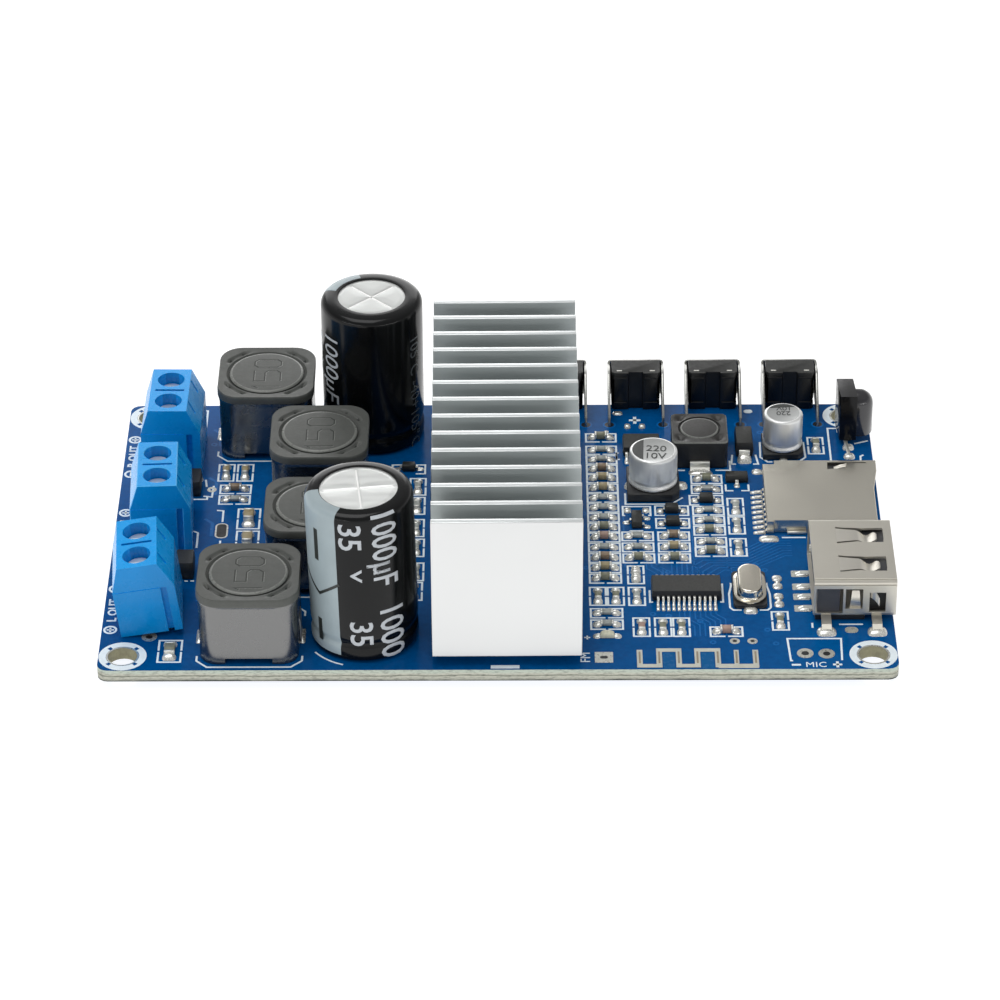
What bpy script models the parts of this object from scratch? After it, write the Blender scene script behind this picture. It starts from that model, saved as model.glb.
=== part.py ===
"""Audio amplifier board: a blue circuit board with its terminal blocks, inductors,
capacitors, heatsink, push buttons, sockets and chips, one object for each piece.

Frame: metres, +Z up. The origin is the centre of the board's underside, +X runs
along the long edge towards the sockets, +Y towards the push buttons.
Lengths below are in millimetres and are turned into metres when a mesh is made.
"""
import math

import bmesh
import bpy
from mathutils import Matrix, Vector

MM = 0.001

# ---------------------------------------------------------------- dimensions
BOARD_W, BOARD_D, BOARD_T = 96.3, 59.8, 1.6
BOARD_CORNER_R = 1.3
SCREW_HOLE_R = 1.78
SCREW_PAD_R = 2.7
SCREW_HOLE_X, SCREW_HOLE_Y = 45.2, 26.95
LEAD_TIP_Z = -1.3          # all leads are cut to this height below the board
SEAT = 0.05                # clearance between a part and the board it sits on
LEAD_GAP = 0.3             # clearance round a lead in its hole

HEATSINK_W, HEATSINK_L = 18.0, 51.35
HEATSINK_X, HEATSINK_FRONT_Y = 0.98, -29.2
HEATSINK_Z0, HEATSINK_TOP = 1.45, 20.7     # above the board's top
HEATSINK_BASE_T = 2.6
HEATSINK_FINS, FIN_ROOT_T, FIN_TIP_T = 14, 1.15, 0.9
HEATSINK_SKEW = 0.32       # degrees, as it was stuck down

TERMINAL_L, TERMINAL_H = 10.16, 10.0
TERMINAL_TOP_HALF = 2.45
TERMINAL_LEFT, TERMINAL_RIGHT = -3.5, 4.05
TERMINAL_SHOULDER_Z = 6.56
TERMINAL_PITCH = 5.08
WELL_R, SCREW_HEAD_R, SCREW_SHAFT_R = 1.72, 1.55, 1.2
SCREW_HEAD_Z0, SCREW_HEAD_Z1 = 7.35, 8.6
SCREW_TIP_Z = 4.3
CLAMP_TRAVEL = 2.0
CHAMBER_TOP = 7.2
# centre of the housing's foot on the board's top, turn about Z, lean about Y, nod about X (degrees)
TERMINALS = (
    ((-41.92, 17.63, SEAT), -0.6, 0.0, 0.0),
    ((-42.36, 0.30, SEAT), 2.7, 0.0, 0.0),
    ((-42.48, -17.78, 0.60), 3.9, -6.8, 1.2),
)

INDUCTOR_W, INDUCTOR_H = 12.4, 9.5
INDUCTORS = ((-29.8, 22.9), (-22.5, 8.7), (-22.5, -8.0), (-29.9, -22.75))

CAPACITOR_R = 6.5
# x, y, height above the board, lean about Y in degrees
CAPACITORS = ((-16.15, 23.95, 20.35, 0.0), (-16.05, -22.05, 21.2, -1.2))
CAPACITOR_LEAD_PITCH = 5.0

SWITCH_X0, SWITCH_PITCH, SWITCH_COUNT = 7.86, 10.05, 4
SWITCH_FRONT_Y, SWITCH_BACK_Y = 28.65, 31.9
SWITCH_W, SWITCH_H = 6.3, 5.6
SWITCH_AXIS_Z = 2.75
BUTTON_R, BUTTON_OUT = 1.65, 1.85
BUTTON_TRAVEL = 0.25
BRACKET_T, BRACKET_W = 0.3, 7.3
BRACKET_LEG_Y = 24.95

USB_X, USB_Y, USB_Z = (38.32, 48.35), (-20.0, -6.2), (0.7, 5.95)
USB_WALL = 0.3
USB_LEG_X = (39.85, 46.0)
USB_LEG_OUT = 2.3

CARD_X, CARD_Y, CARD_TOP = (33.65, 47.5), (-0.45, 13.45), 1.9
CARD_WALL = 0.2

IR_X, IR_Y, IR_Z = (44.3, 46.45), (19.9, 24.35), (0.75, 7.35)
IR_DOME_R = 1.75
IR_LEADS_Y = (17.0, 19.2, 21.4)

SMD_CAPS = (
    # x, y, can radius, can top, base half width, base height, can foot
    (19.66, 9.8, 3.06, 5.85, 3.32, 1.25, 1.30),
    (36.60, 18.9, 2.51, 5.60, 2.62, 0.95, 1.00),
)

POWER_INDUCTOR = (25.8, 17.85, 7.2, 7.0, 4.0)
CRYSTAL = (30.86, -13.55, 2.95, 6.2, 3.95, 7.2)     # x, y, can w, can l, flange w, flange l
CRYSTAL_TOP, CRYSTAL_FLANGE_Z = 2.2, (0.62, 0.85)
DECODER = (23.1, -13.75, 8.6, 3.75, 1.5)
REGULATOR = (18.4, 18.9, 4.8, 3.6, 1.45)
POWER_DIODE = (31.62, 19.1, 2.35, 4.3, 2.2)
LED = (13.25, -22.95, 1.7, 0.95, 0.75)
AMPLIFIER = (1.0, -4.0, 6.2, 11.0, 1.0)

TOP = BOARD_T              # the board's top face

# ---------------------------------------------------------------- clean start
for old in list(bpy.data.objects):
    bpy.data.objects.remove(old, do_unlink=True)


# ---------------------------------------------------------------- helpers
def material(name, colour, rough=0.5, metal=0.0):
    found = bpy.data.materials.get(name)
    if found:
        return found
    m = bpy.data.materials.new(name)
    m.use_nodes = True
    shader = m.node_tree.nodes["Principled BSDF"]
    shader.inputs["Base Color"].default_value = (*colour, 1.0)
    shader.inputs["Roughness"].default_value = rough
    shader.inputs["Metallic"].default_value = metal
    m.diffuse_color = (*colour, 1.0)
    return m


BLUE_BOARD = material("board_blue", (0.004, 0.06, 0.26), 0.35)
ALUMINIUM = material("aluminium_plain", (0.80, 0.80, 0.80), 0.35, 1.0)
BLUE_PLASTIC = material("terminal_blue", (0.01, 0.16, 0.52), 0.4)
SCREW_STEEL = material("screw_steel", (0.62, 0.63, 0.62), 0.3, 1.0)
CLAMP_STEEL = material("clamp_steel", (0.55, 0.55, 0.53), 0.35, 1.0)
PIN_TIN = material("pin_tin", (0.70, 0.70, 0.68), 0.3, 1.0)
FERRITE = material("ferrite_grey", (0.14, 0.14, 0.135), 0.5)
SLEEVE = material("sleeve_black", (0.035, 0.035, 0.04), 0.35)
CHIP = material("chip_black", (0.02, 0.02, 0.022), 0.45)
PAD_GREY = material("pad_grey", (0.35, 0.38, 0.42), 0.8)
SWITCH_BLACK = material("switch_black", (0.012, 0.012, 0.014), 0.5)
BUTTON_BLACK = material("button_black", (0.02, 0.02, 0.022), 0.45)
BRACKET_STEEL = material("bracket_steel", (0.68, 0.67, 0.64), 0.3, 1.0)
SHELL_NICKEL = material("shell_nickel", (0.55, 0.53, 0.49), 0.28, 1.0)
SOCKET_BLACK = material("socket_black", (0.02, 0.02, 0.024), 0.5)
CAN_ALUMINIUM = material("can_aluminium", (0.75, 0.75, 0.76), 0.25, 1.0)
CRYSTAL_NICKEL = material("crystal_nickel", (0.60, 0.58, 0.53), 0.2, 1.0)
LED_CLEAR = material("led_body", (0.75, 0.72, 0.60), 0.3)


def finish(bm, name, mat, smooth_deg=None):
    """The bmesh, drawn in millimetres, as an object in metres."""
    bmesh.ops.recalc_face_normals(bm, faces=bm.faces)
    bmesh.ops.scale(bm, vec=(MM, MM, MM), verts=bm.verts)
    mesh = bpy.data.meshes.new(name)
    bm.to_mesh(mesh)
    bm.free()
    obj = bpy.data.objects.new(name, mesh)
    bpy.context.scene.collection.objects.link(obj)
    if mat:
        mesh.materials.append(mat)
    if smooth_deg:
        mesh.shade_smooth()
        mesh.set_sharp_from_angle(angle=math.radians(smooth_deg))
    return obj


def place(obj, xyz=(0, 0, 0), turn=(0, 0, 0), parent=None):
    obj.location = Vector(xyz) * MM
    obj.rotation_euler = tuple(math.radians(a) for a in turn)
    if parent:
        obj.parent = parent
    return obj


def box(bm, x, y, z):
    """A block between the pairs x, y and z."""
    corner = [bm.verts.new((a, b, c)) for c in z for b in y for a in x]
    for f in ((0, 2, 3, 1), (4, 5, 7, 6), (0, 1, 5, 4), (1, 3, 7, 5), (3, 2, 6, 7), (2, 0, 4, 6)):
        bm.faces.new([corner[i] for i in f])
    return bm


def prism(bm, outline, low, high, axis="z"):
    """An outline of 2D points, extruded from low to high along an axis."""
    def point(p, h):
        if axis == "z":
            return (p[0], p[1], h)
        if axis == "y":
            return (p[0], h, p[1])
        return (h, p[0], p[1])

    rings = [[bm.verts.new(point(p, h)) for p in outline] for h in (low, high)]
    bm.faces.new(rings[0])
    bm.faces.new(rings[1])
    n = len(outline)
    for i in range(n):
        bm.faces.new((rings[0][i], rings[0][(i + 1) % n], rings[1][(i + 1) % n], rings[1][i]))
    return bm


def loft(bm, rings):
    """Closed rings of 3D points with equal counts, joined in order and capped."""
    made = [[bm.verts.new(p) for p in ring] for ring in rings]
    n = len(made[0])
    for low, high in zip(made, made[1:]):
        for i in range(n):
            bm.faces.new((low[i], low[(i + 1) % n], high[(i + 1) % n], high[i]))
    bm.faces.new(made[0])
    bm.faces.new(made[-1])
    return bm


def circle(r, count, cx=0.0, cy=0.0, start=0.0):
    return [
        (cx + r * math.cos(start + 2 * math.pi * i / count), cy + r * math.sin(start + 2 * math.pi * i / count))
        for i in range(count)
    ]


def rounded_rect(w, d, r, steps=3, cx=0.0, cy=0.0):
    points = []
    for k, (sx, sy) in enumerate(((1, 1), (-1, 1), (-1, -1), (1, -1))):
        for i in range(steps + 1):
            a = math.radians(90 * k + 90 * i / steps)
            points.append((cx + sx * (w / 2 - r) + r * math.cos(a), cy + sy * (d / 2 - r) + r * math.sin(a)))
    return points


def turned(bm, profile, count, cx=0.0, cy=0.0):
    """A profile of (radius, z) pairs turned about the vertical line through cx, cy."""
    return loft(bm, [[(x, y, z) for x, y in circle(r, count, cx, cy)] for r, z in profile])


def guide(obj):
    obj.hide_render = True
    obj.display_type = "WIRE"
    return obj


def boolean(obj, tool, what="DIFFERENCE"):
    guide(tool)
    m = obj.modifiers.new(what.lower(), "BOOLEAN")
    m.operation = what
    m.solver = "EXACT"
    m.object = tool
    return obj


def frame_at(name, xyz, turn=0.0, lean=0.0, nod=0.0):
    """An empty that carries a group: turned about Z, leaning about Y, nodding about X."""
    e = bpy.data.objects.new(name, None)
    bpy.context.scene.collection.objects.link(e)
    rot = (
        Matrix.Rotation(math.radians(turn), 4, "Z")
        @ Matrix.Rotation(math.radians(nod), 4, "X")
        @ Matrix.Rotation(math.radians(lean), 4, "Y")
    )
    e.matrix_world = Matrix.Translation(Vector(xyz) * MM) @ rot
    return e


def on_frame(xyz, turn, lean, nod, local):
    """Where a point of such a group lies, in millimetres."""
    rot = (
        Matrix.Rotation(math.radians(turn), 3, "Z")
        @ Matrix.Rotation(math.radians(nod), 3, "X")
        @ Matrix.Rotation(math.radians(lean), 3, "Y")
    )
    return Vector(xyz) + rot @ Vector(local)


# ---------------------------------------------------------------- circuit board
def lead_holes():
    """Every hole for a lead: x, y, half width, half depth, corner radius."""
    holes = []
    for xyz, turn, lean, nod in TERMINALS:
        for pole in (-0.5, 0.5):
            p = on_frame((xyz[0], xyz[1], xyz[2]), turn, lean, nod, (2.15, pole * TERMINAL_PITCH, -BOARD_T / 2))
            holes.append((p.x, p.y, 0.78, 0.95, 0.35))
    for x, y, _, _ in CAPACITORS:
        for side in (-0.5, 0.5):
            holes.append((x, y + side * CAPACITOR_LEAD_PITCH, 0.7, 0.7, 0.45))
    for k in range(SWITCH_COUNT):
        for side in (-1, 1):
            x = SWITCH_X0 + k * SWITCH_PITCH + side * (BRACKET_W - BRACKET_T) / 2
            holes.append((x, BRACKET_LEG_Y, 0.5, 0.75, 0.35))
    for x in USB_LEG_X:
        for y in (USB_Y[0] - USB_LEG_OUT, USB_Y[1] + USB_LEG_OUT):
            holes.append((x, y, 0.95, 0.5, 0.35))
    for y in IR_LEADS_Y:
        holes.append((45.15, y, 0.55, 0.5, 0.35))
    return holes


def circuit_board():
    bm = bmesh.new()
    loops = [rounded_rect(BOARD_W, BOARD_D, BOARD_CORNER_R, 4)]
    for x, y, hw, hd, r in lead_holes():
        loops.append(rounded_rect(2 * hw, 2 * hd, r, 1, x, y))
    pads = []
    for sx in (-1, 1):
        for sy in (-1, 1):
            ring = circle(SCREW_PAD_R, 24, sx * SCREW_HOLE_X, sy * SCREW_HOLE_Y)
            hole = circle(SCREW_HOLE_R, 24, sx * SCREW_HOLE_X, sy * SCREW_HOLE_Y)
            loops.append(ring)
            pads.append((len(loops) - 1, hole))
    # a plain field in the middle of the underside, where the board is supported
    loops.append([(-7.0, -6.0), (7.0, -6.0), (7.0, 6.0), (-7.0, 6.0)])
    made, edges = [], []
    for loop in loops:
        verts = [bm.verts.new((x, y, 0.0)) for x, y in loop]
        made.append(verts)
        edges += [bm.edges.new((verts[i], verts[(i + 1) % len(verts)])) for i in range(len(verts))]
    bmesh.ops.triangle_fill(bm, use_beauty=True, use_dissolve=False, edges=edges, normal=(0, 0, 1))
    for index, hole in pads:
        ring = made[index]
        inner = [bm.verts.new((x, y, 0.0)) for x, y in hole]
        for i in range(len(ring)):
            j = (i + 1) % len(ring)
            bm.faces.new((ring[i], ring[j], inner[j], inner[i]))
    field = made[-1]
    if not any(set(f.verts) <= set(field) for f in bm.faces):
        bm.faces.new(field)
    flat = list(bm.faces)
    grown = bmesh.ops.extrude_face_region(bm, geom=flat, use_keep_orig=True)
    lifted = [g for g in grown["geom"] if isinstance(g, bmesh.types.BMVert)]
    bmesh.ops.translate(bm, vec=(0, 0, BOARD_T), verts=lifted)
    return finish(bm, "circuit_board", BLUE_BOARD)


# ---------------------------------------------------------------- heatsink and its chip
def heatsink():
    pitch = (HEATSINK_L - FIN_TIP_T) / (HEATSINK_FINS - 1)
    base_top = HEATSINK_Z0 + HEATSINK_BASE_T
    half = HEATSINK_L / 2
    outline = [(-half, HEATSINK_Z0), (half, HEATSINK_Z0)]
    for k in reversed(range(HEATSINK_FINS)):
        c = -half + FIN_TIP_T / 2 + k * pitch
        last, first = k == HEATSINK_FINS - 1, k == 0
        right_root = half if last else c + FIN_ROOT_T / 2
        left_root = -half if first else c - FIN_ROOT_T / 2
        if not last:
            outline.append((right_root, base_top))
        outline.append((c + FIN_TIP_T / 2, HEATSINK_TOP))
        outline.append((c - FIN_TIP_T / 2, HEATSINK_TOP))
        if not first:
            outline.append((left_root, base_top))
    bm = prism(bmesh.new(), outline, -HEATSINK_W / 2, HEATSINK_W / 2, "x")
    obj = finish(bm, "heatsink", ALUMINIUM)
    return place(obj, (HEATSINK_X, HEATSINK_FRONT_Y + half, TOP), (0, 0, HEATSINK_SKEW))


def amplifier():
    x, y, w, d, h = AMPLIFIER
    chip = finish(box(bmesh.new(), (-w / 2, w / 2), (-d / 2, d / 2), (SEAT, h)), "amplifier_chip", CHIP)
    place(chip, (x, y, TOP))
    pad = finish(
        box(bmesh.new(), (-w / 2 - 1, w / 2 + 1), (-d / 2 - 1, d / 2 + 1), (h + 0.05, HEATSINK_Z0 - 0.05)),
        "thermal_pad",
        PAD_GREY,
    )
    place(pad, (x, y, TOP))


# ---------------------------------------------------------------- terminal blocks
def terminal(number, xyz, turn, lean, nod):
    at = (xyz[0], xyz[1], xyz[2] + TOP)
    carrier = frame_at(f"terminal_frame_{number}", at, turn, lean, nod)
    half, h = TERMINAL_L / 2, TERMINAL_H
    outline = [
        (TERMINAL_LEFT, 0.0),
        (TERMINAL_RIGHT, 0.0),
        (TERMINAL_RIGHT, TERMINAL_SHOULDER_Z),
        (TERMINAL_TOP_HALF, h),
        (-TERMINAL_TOP_HALF, h),
        (TERMINAL_LEFT, TERMINAL_SHOULDER_Z),
    ]
    housing = finish(prism(bmesh.new(), outline, -half, half, "y"), f"terminal_housing_{number}", BLUE_PLASTIC)
    place(housing, parent=carrier)
    poles = (-TERMINAL_PITCH / 2, TERMINAL_PITCH / 2)

    chambers = bmesh.new()
    for y in poles:
        box(chambers, (-2.2, 2.7), (y - 1.95, y + 1.95), (-1.0, CHAMBER_TOP))
    # dovetail groove at the front end, where a neighbouring block would hook in
    prism(chambers, [(2.3, -half - 1.0), (3.05, -half - 1.0), (3.05, -half + 0.2), (3.2, -half + 0.55), (2.15, -half + 0.55), (2.3, -half + 0.2)], -1.0, TERMINAL_SHOULDER_Z - 0.05)
    boolean(housing, place(finish(chambers, f"cut_chambers_{number}", None), parent=carrier))

    wells = bmesh.new()
    for y in poles:
        turned(wells, [(WELL_R, CHAMBER_TOP - 0.5), (WELL_R, h + 1.0)], 24, 0.0, y)
    box(wells, (-1.85, 1.85), (-0.2, 0.2), (h - 0.6, h + 1.0))
    boolean(housing, place(finish(wells, f"cut_wells_{number}", None), parent=carrier))

    entries = bmesh.new()
    for y in poles:
        box(entries, (TERMINAL_LEFT - 1.0, -1.9), (y - 1.6, y + 1.6), (1.0, 4.9))
    boolean(housing, place(finish(entries, f"cut_entries_{number}", None), parent=carrier))

    for k, y in enumerate(poles):
        n = 2 * (number - 1) + k + 1
        # slotted screw, held in its well: its origin is on its own axis
        bm = turned(
            bmesh.new(),
            [
                (SCREW_SHAFT_R - 0.25, SCREW_TIP_Z),
                (SCREW_SHAFT_R, SCREW_TIP_Z + 0.3),
                (SCREW_SHAFT_R, SCREW_HEAD_Z0),
                (SCREW_HEAD_R, SCREW_HEAD_Z0),
                (SCREW_HEAD_R, SCREW_HEAD_Z1 - 0.2),
                (SCREW_HEAD_R - 0.2, SCREW_HEAD_Z1),
            ],
            20,
        )
        screw = finish(bm, f"terminal_screw_{n}", SCREW_STEEL, 40)
        place(screw, (0, y, 0), parent=carrier)
        slot = finish(box(bmesh.new(), (-2.5, 2.5), (-0.25, 0.25), (SCREW_HEAD_Z1 - 0.6, SCREW_HEAD_Z1 + 1)), f"cut_slot_{n}", None)
        boolean(screw, place(slot, (0, y, 0), parent=carrier))

        # rising clamp: a square tube along X with the screw through its roof
        clamp = finish(
            prism(
                bmesh.new(),
                [(-1.7, 0.45), (1.7, 0.45), (1.7, 4.95), (-1.7, 4.95)],
                -1.5,
                1.5,
                "x",
            ),
            f"wire_clamp_{n}",
            CLAMP_STEEL,
        )
        place(clamp, (0, y, 0), parent=carrier)
        tunnel = finish(box(bmesh.new(), (-2.5, 2.5), (-1.25, 1.25), (0.95, 4.25)), f"cut_tunnel_{n}", None)
        boolean(clamp, place(tunnel, (0, y, 0), parent=carrier))
        bore = finish(turned(bmesh.new(), [(SCREW_SHAFT_R + 0.15, 4.1), (SCREW_SHAFT_R + 0.15, 5.6)], 20), f"cut_bore_{n}", None)
        boolean(clamp, place(bore, (0, y, 0), parent=carrier))

        # contact bar inside the clamp, bent down into the solder pin
        contact = finish(
            prism(
                bmesh.new(),
                [(-1.7, 3.55), (1.95, 3.55), (1.95, LEAD_TIP_Z - BOARD_T + 0.02 - xyz[2] + SEAT), (2.35, LEAD_TIP_Z - BOARD_T + 0.02 - xyz[2] + SEAT), (2.35, 4.0), (-1.7, 4.0)],
                -0.5,
                0.5,
                "y",
            ),
            f"terminal_contact_{n}",
            PIN_TIN,
        )
        place(contact, (0, y, 0), parent=carrier)


# ---------------------------------------------------------------- inductors
def inductor(number, x, y):
    bm = bmesh.new()
    w, h = INDUCTOR_W, INDUCTOR_H

    def ring(width, r, z):
        return [(px, py, z) for px, py in rounded_rect(width, width, r, 4)]

    loft(
        bm,
        [
            ring(w - 0.9, 2.6, SEAT),
            ring(w - 0.6, 2.75, 0.35),
            ring(w - 0.6, 2.75, h - 1.7),
            ring(w, 2.9, h - 1.2),
            ring(w, 2.9, h - 0.35),
            ring(w - 0.5, 2.7, h),
        ],
    )
    obj = finish(bm, f"inductor_{number}", FERRITE, 30)
    return place(obj, (x, y, TOP))


# ---------------------------------------------------------------- upright capacitors
def capacitor(number, x, y, h, lean):
    carrier = frame_at(f"capacitor_frame_{number}", (x, y, TOP + 0.15), 0, lean, 0)
    r = CAPACITOR_R
    bm = turned(
        bmesh.new(),
        [
            (r - 0.6, 0.0),
            (r - 0.15, 0.25),
            (r, 0.7),
            (r, 1.9),
            (r - 0.35, 2.5),
            (r, 3.1),
            (r, h - 1.5),
            (r - 0.35, h - 0.75),
            (r - 1.2, h - 0.3),
            (r - 1.7, h - 0.3),
            (r - 1.9, h - 0.55),
        ],
        32,
    )
    obj = finish(bm, f"capacitor_{number}", SLEEVE, 50)
    place(obj, parent=carrier)
    leads = bmesh.new()
    for side in (-0.5, 0.5):
        turned(leads, [(0.4, LEAD_TIP_Z - BOARD_T - 0.1), (0.4, 0.6)], 10, 0, side * CAPACITOR_LEAD_PITCH)
    boolean(obj, place(finish(leads, f"leads_{number}", None), parent=carrier), "UNION")


# ---------------------------------------------------------------- push buttons
def switch(number):
    x = SWITCH_X0 + (number - 1) * SWITCH_PITCH
    mid_y = (SWITCH_FRONT_Y + SWITCH_BACK_Y) / 2
    w, h = SWITCH_W, SWITCH_H
    depth = (SWITCH_BACK_Y - SWITCH_FRONT_Y) / 2

    # body: shallow vertical grooves on its inner face and two small pegs' lands on the roof
    outline = [
        (-w / 2, -depth + 0.35), (-w / 2 + 0.35, -depth), (-0.95, -depth), (-0.95, -depth + 0.35),
        (0.95, -depth + 0.35), (0.95, -depth), (w / 2 - 0.35, -depth), (w / 2, -depth + 0.35),
        (w / 2, depth), (-w / 2, depth),
    ]
    body = finish(prism(bmesh.new(), outline, SEAT, h), f"switch_body_{number}", SWITCH_BLACK)
    place(body, (x, mid_y, TOP))
    recess = bmesh.new()
    prism(recess, circle(BUTTON_R + 0.3, 20, 0, SWITCH_AXIS_Z), depth - 1.2, depth + 1.0, "y")
    boolean(body, place(finish(recess, f"cut_recess_{number}", None), (x, mid_y, TOP)))
    sides = bmesh.new()
    for low, high in ((0.95, 1.5), (2.75, 4.35)):
        for side in (-1, 1):
            a, b = side * (w / 2 - 0.3), side * (w / 2 + 1)
            box(sides, (min(a, b), max(a, b)), (-depth - 1, depth - 0.4), (low, high))
    boolean(body, place(finish(sides, f"cut_sides_{number}", None), (x, mid_y, TOP)))

    # plunger: slides along Y, origin on its axis at the face of the body
    bm = bmesh.new()
    rings = [(BUTTON_R, -0.85), (BUTTON_R, BUTTON_OUT - 0.3), (BUTTON_R - 0.3, BUTTON_OUT)]
    loft(bm, [[(px, y, pz) for px, pz in circle(r, 20)] for r, y in rings])
    button = finish(bm, f"switch_button_{number}", BUTTON_BLACK, 40)
    place(button, (x, SWITCH_BACK_Y, TOP + SWITCH_AXIS_Z))

    # bracket: face plate with a hole for the plunger, wings folded forward, legs into the board
    t, bw = BRACKET_T, BRACKET_W
    face_y = SWITCH_BACK_Y + 0.05 - mid_y
    plate = bmesh.new()
    prism(plate, rounded_rect(bw, h - 0.5, 0.4, 2, 0, (h + 0.3) / 2), face_y, face_y + t, "y")
    bracket = finish(plate, f"switch_bracket_{number}", BRACKET_STEEL)
    place(bracket, (x, mid_y, TOP))
    hole = prism(bmesh.new(), circle(BUTTON_R + 0.3, 20, 0, SWITCH_AXIS_Z), face_y - 0.5, face_y + 1.0, "y")
    boolean(bracket, place(finish(hole, f"cut_face_{number}", None), (x, mid_y, TOP)))
    wings = bmesh.new()
    leg = BRACKET_LEG_Y - mid_y
    wing = [
        (face_y + t - 0.02, 0.75), (face_y + t - 0.02, h - 0.75), (face_y - 0.4, h - 0.3), (-depth + 0.4, h - 0.3),
        (leg - 0.45, 1.3), (leg - 0.45, LEAD_TIP_Z - BOARD_T + 0.35), (leg - 0.2, LEAD_TIP_Z - BOARD_T),
        (leg + 0.2, LEAD_TIP_Z - BOARD_T), (leg + 0.45, LEAD_TIP_Z - BOARD_T + 0.35), (leg + 0.45, 0.3), (-depth - 0.1, 0.3),
        (-depth + 0.3, 0.75),
    ]
    for side in (-1, 1):
        a, b = side * bw / 2, side * (bw / 2 - t)
        prism(wings, wing, min(a, b), max(a, b), "x")
    boolean(bracket, place(finish(wings, f"wings_{number}", None), (x, mid_y, TOP)), "UNION")


# ---------------------------------------------------------------- USB receptacle
def usb():
    (x0, x1), (y0, y1), (z0, z1), t = USB_X, USB_Y, USB_Z, USB_WALL
    cy, cz = (y0 + y1) / 2, (z0 + z1) / 2
    outer = rounded_rect(y1 - y0, z1 - z0, 0.6, 3, cy, cz)
    shell = finish(prism(bmesh.new(), outer, x0, x1, "x"), "usb_shell", SHELL_NICKEL)
    place(shell, (0, 0, TOP))
    inner = rounded_rect(y1 - y0 - 2 * t, z1 - z0 - 2 * t, 0.35, 3, cy, cz)
    boolean(shell, place(finish(prism(bmesh.new(), inner, x0 - 1, x1 + 1, "x"), "cut_mouth", None), (0, 0, TOP)))
    # windows: the insulator shows at the sides, and each contact spring is cut from the roof and sides
    cuts = bmesh.new()
    for ya, yb in ((y0 - 1, y0 + 1), (y1 - 1, y1 + 1)):
        box(cuts, (x0 + 0.25, x0 + 3.55), (ya, yb), (z0 + 0.55, z1 - 1.15))
        box(cuts, (x0 + 3.85, x0 + 5.95), (ya, yb), (z0 + 1.2, z1 - 1.2))
        box(cuts, (x0 + 6.75, x0 + 8.75), (ya, yb), (z0 + 0.75, z1 - 1.7))
    boolean(shell, place(finish(cuts, "cut_windows", None), (0, 0, TOP)))
    slots = bmesh.new()
    for back, front in ((-8.25, -11.65), (-14.5, -17.9)):
        # a U-shaped slot round each roof spring, open towards the back
        prism(
            slots,
            [
                (x0 + 3.3, front), (x0 + 9.0, front + 0.8), (x0 + 9.0, back - 0.35), (x0 + 3.3, back),
                (x0 + 3.3, back - 0.3), (x0 + 8.2, back - 0.85), (x0 + 8.2, front + 1.3), (x0 + 3.3, front + 0.3),
            ],
            z1 - 1.0,
            z1 + 1.0,
        )
    boolean(shell, place(finish(slots, "cut_roof_springs", None), (0, 0, TOP)))
    legs = bmesh.new()
    tip = LEAD_TIP_Z - BOARD_T
    for x in USB_LEG_X:
        for side, wall in ((-1, y0), (1, y1)):
            o = USB_LEG_OUT
            path = [(-0.5, 0.76), (0.05, 0.8), (0.9, 0.7), (1.6, 0.55), (o - 0.15, 0.25), (o - 0.15, tip), (o + 0.15, tip), (o + 0.15, 0.45), (1.75, 0.85), (0.95, 1.0), (0.05, 1.13), (-0.28, 1.13)]
            prism(legs, [(wall + side * p, z) for p, z in path], x - 0.6, x + 0.6, "x")
    boolean(shell, place(finish(legs, "shell_legs", None), (0, 0, TOP)), "UNION")

    block = box(bmesh.new(), (x0 + 0.45, x0 + 3.2), (y0 + t + 0.1, y1 - t - 0.1), (z0 + t + 0.1, z1 - t - 0.1))
    insulator = finish(block, "usb_insulator", SOCKET_BLACK)
    place(insulator, (0, 0, TOP))
    tongue = box(bmesh.new(), (x0 + 3.0, x1 - 0.8), (cy - 5.2, cy + 5.2), (z1 - t - 2.2, z1 - t - 0.5))
    boolean(insulator, place(finish(tongue, "tongue", None), (0, 0, TOP)), "UNION")


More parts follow.
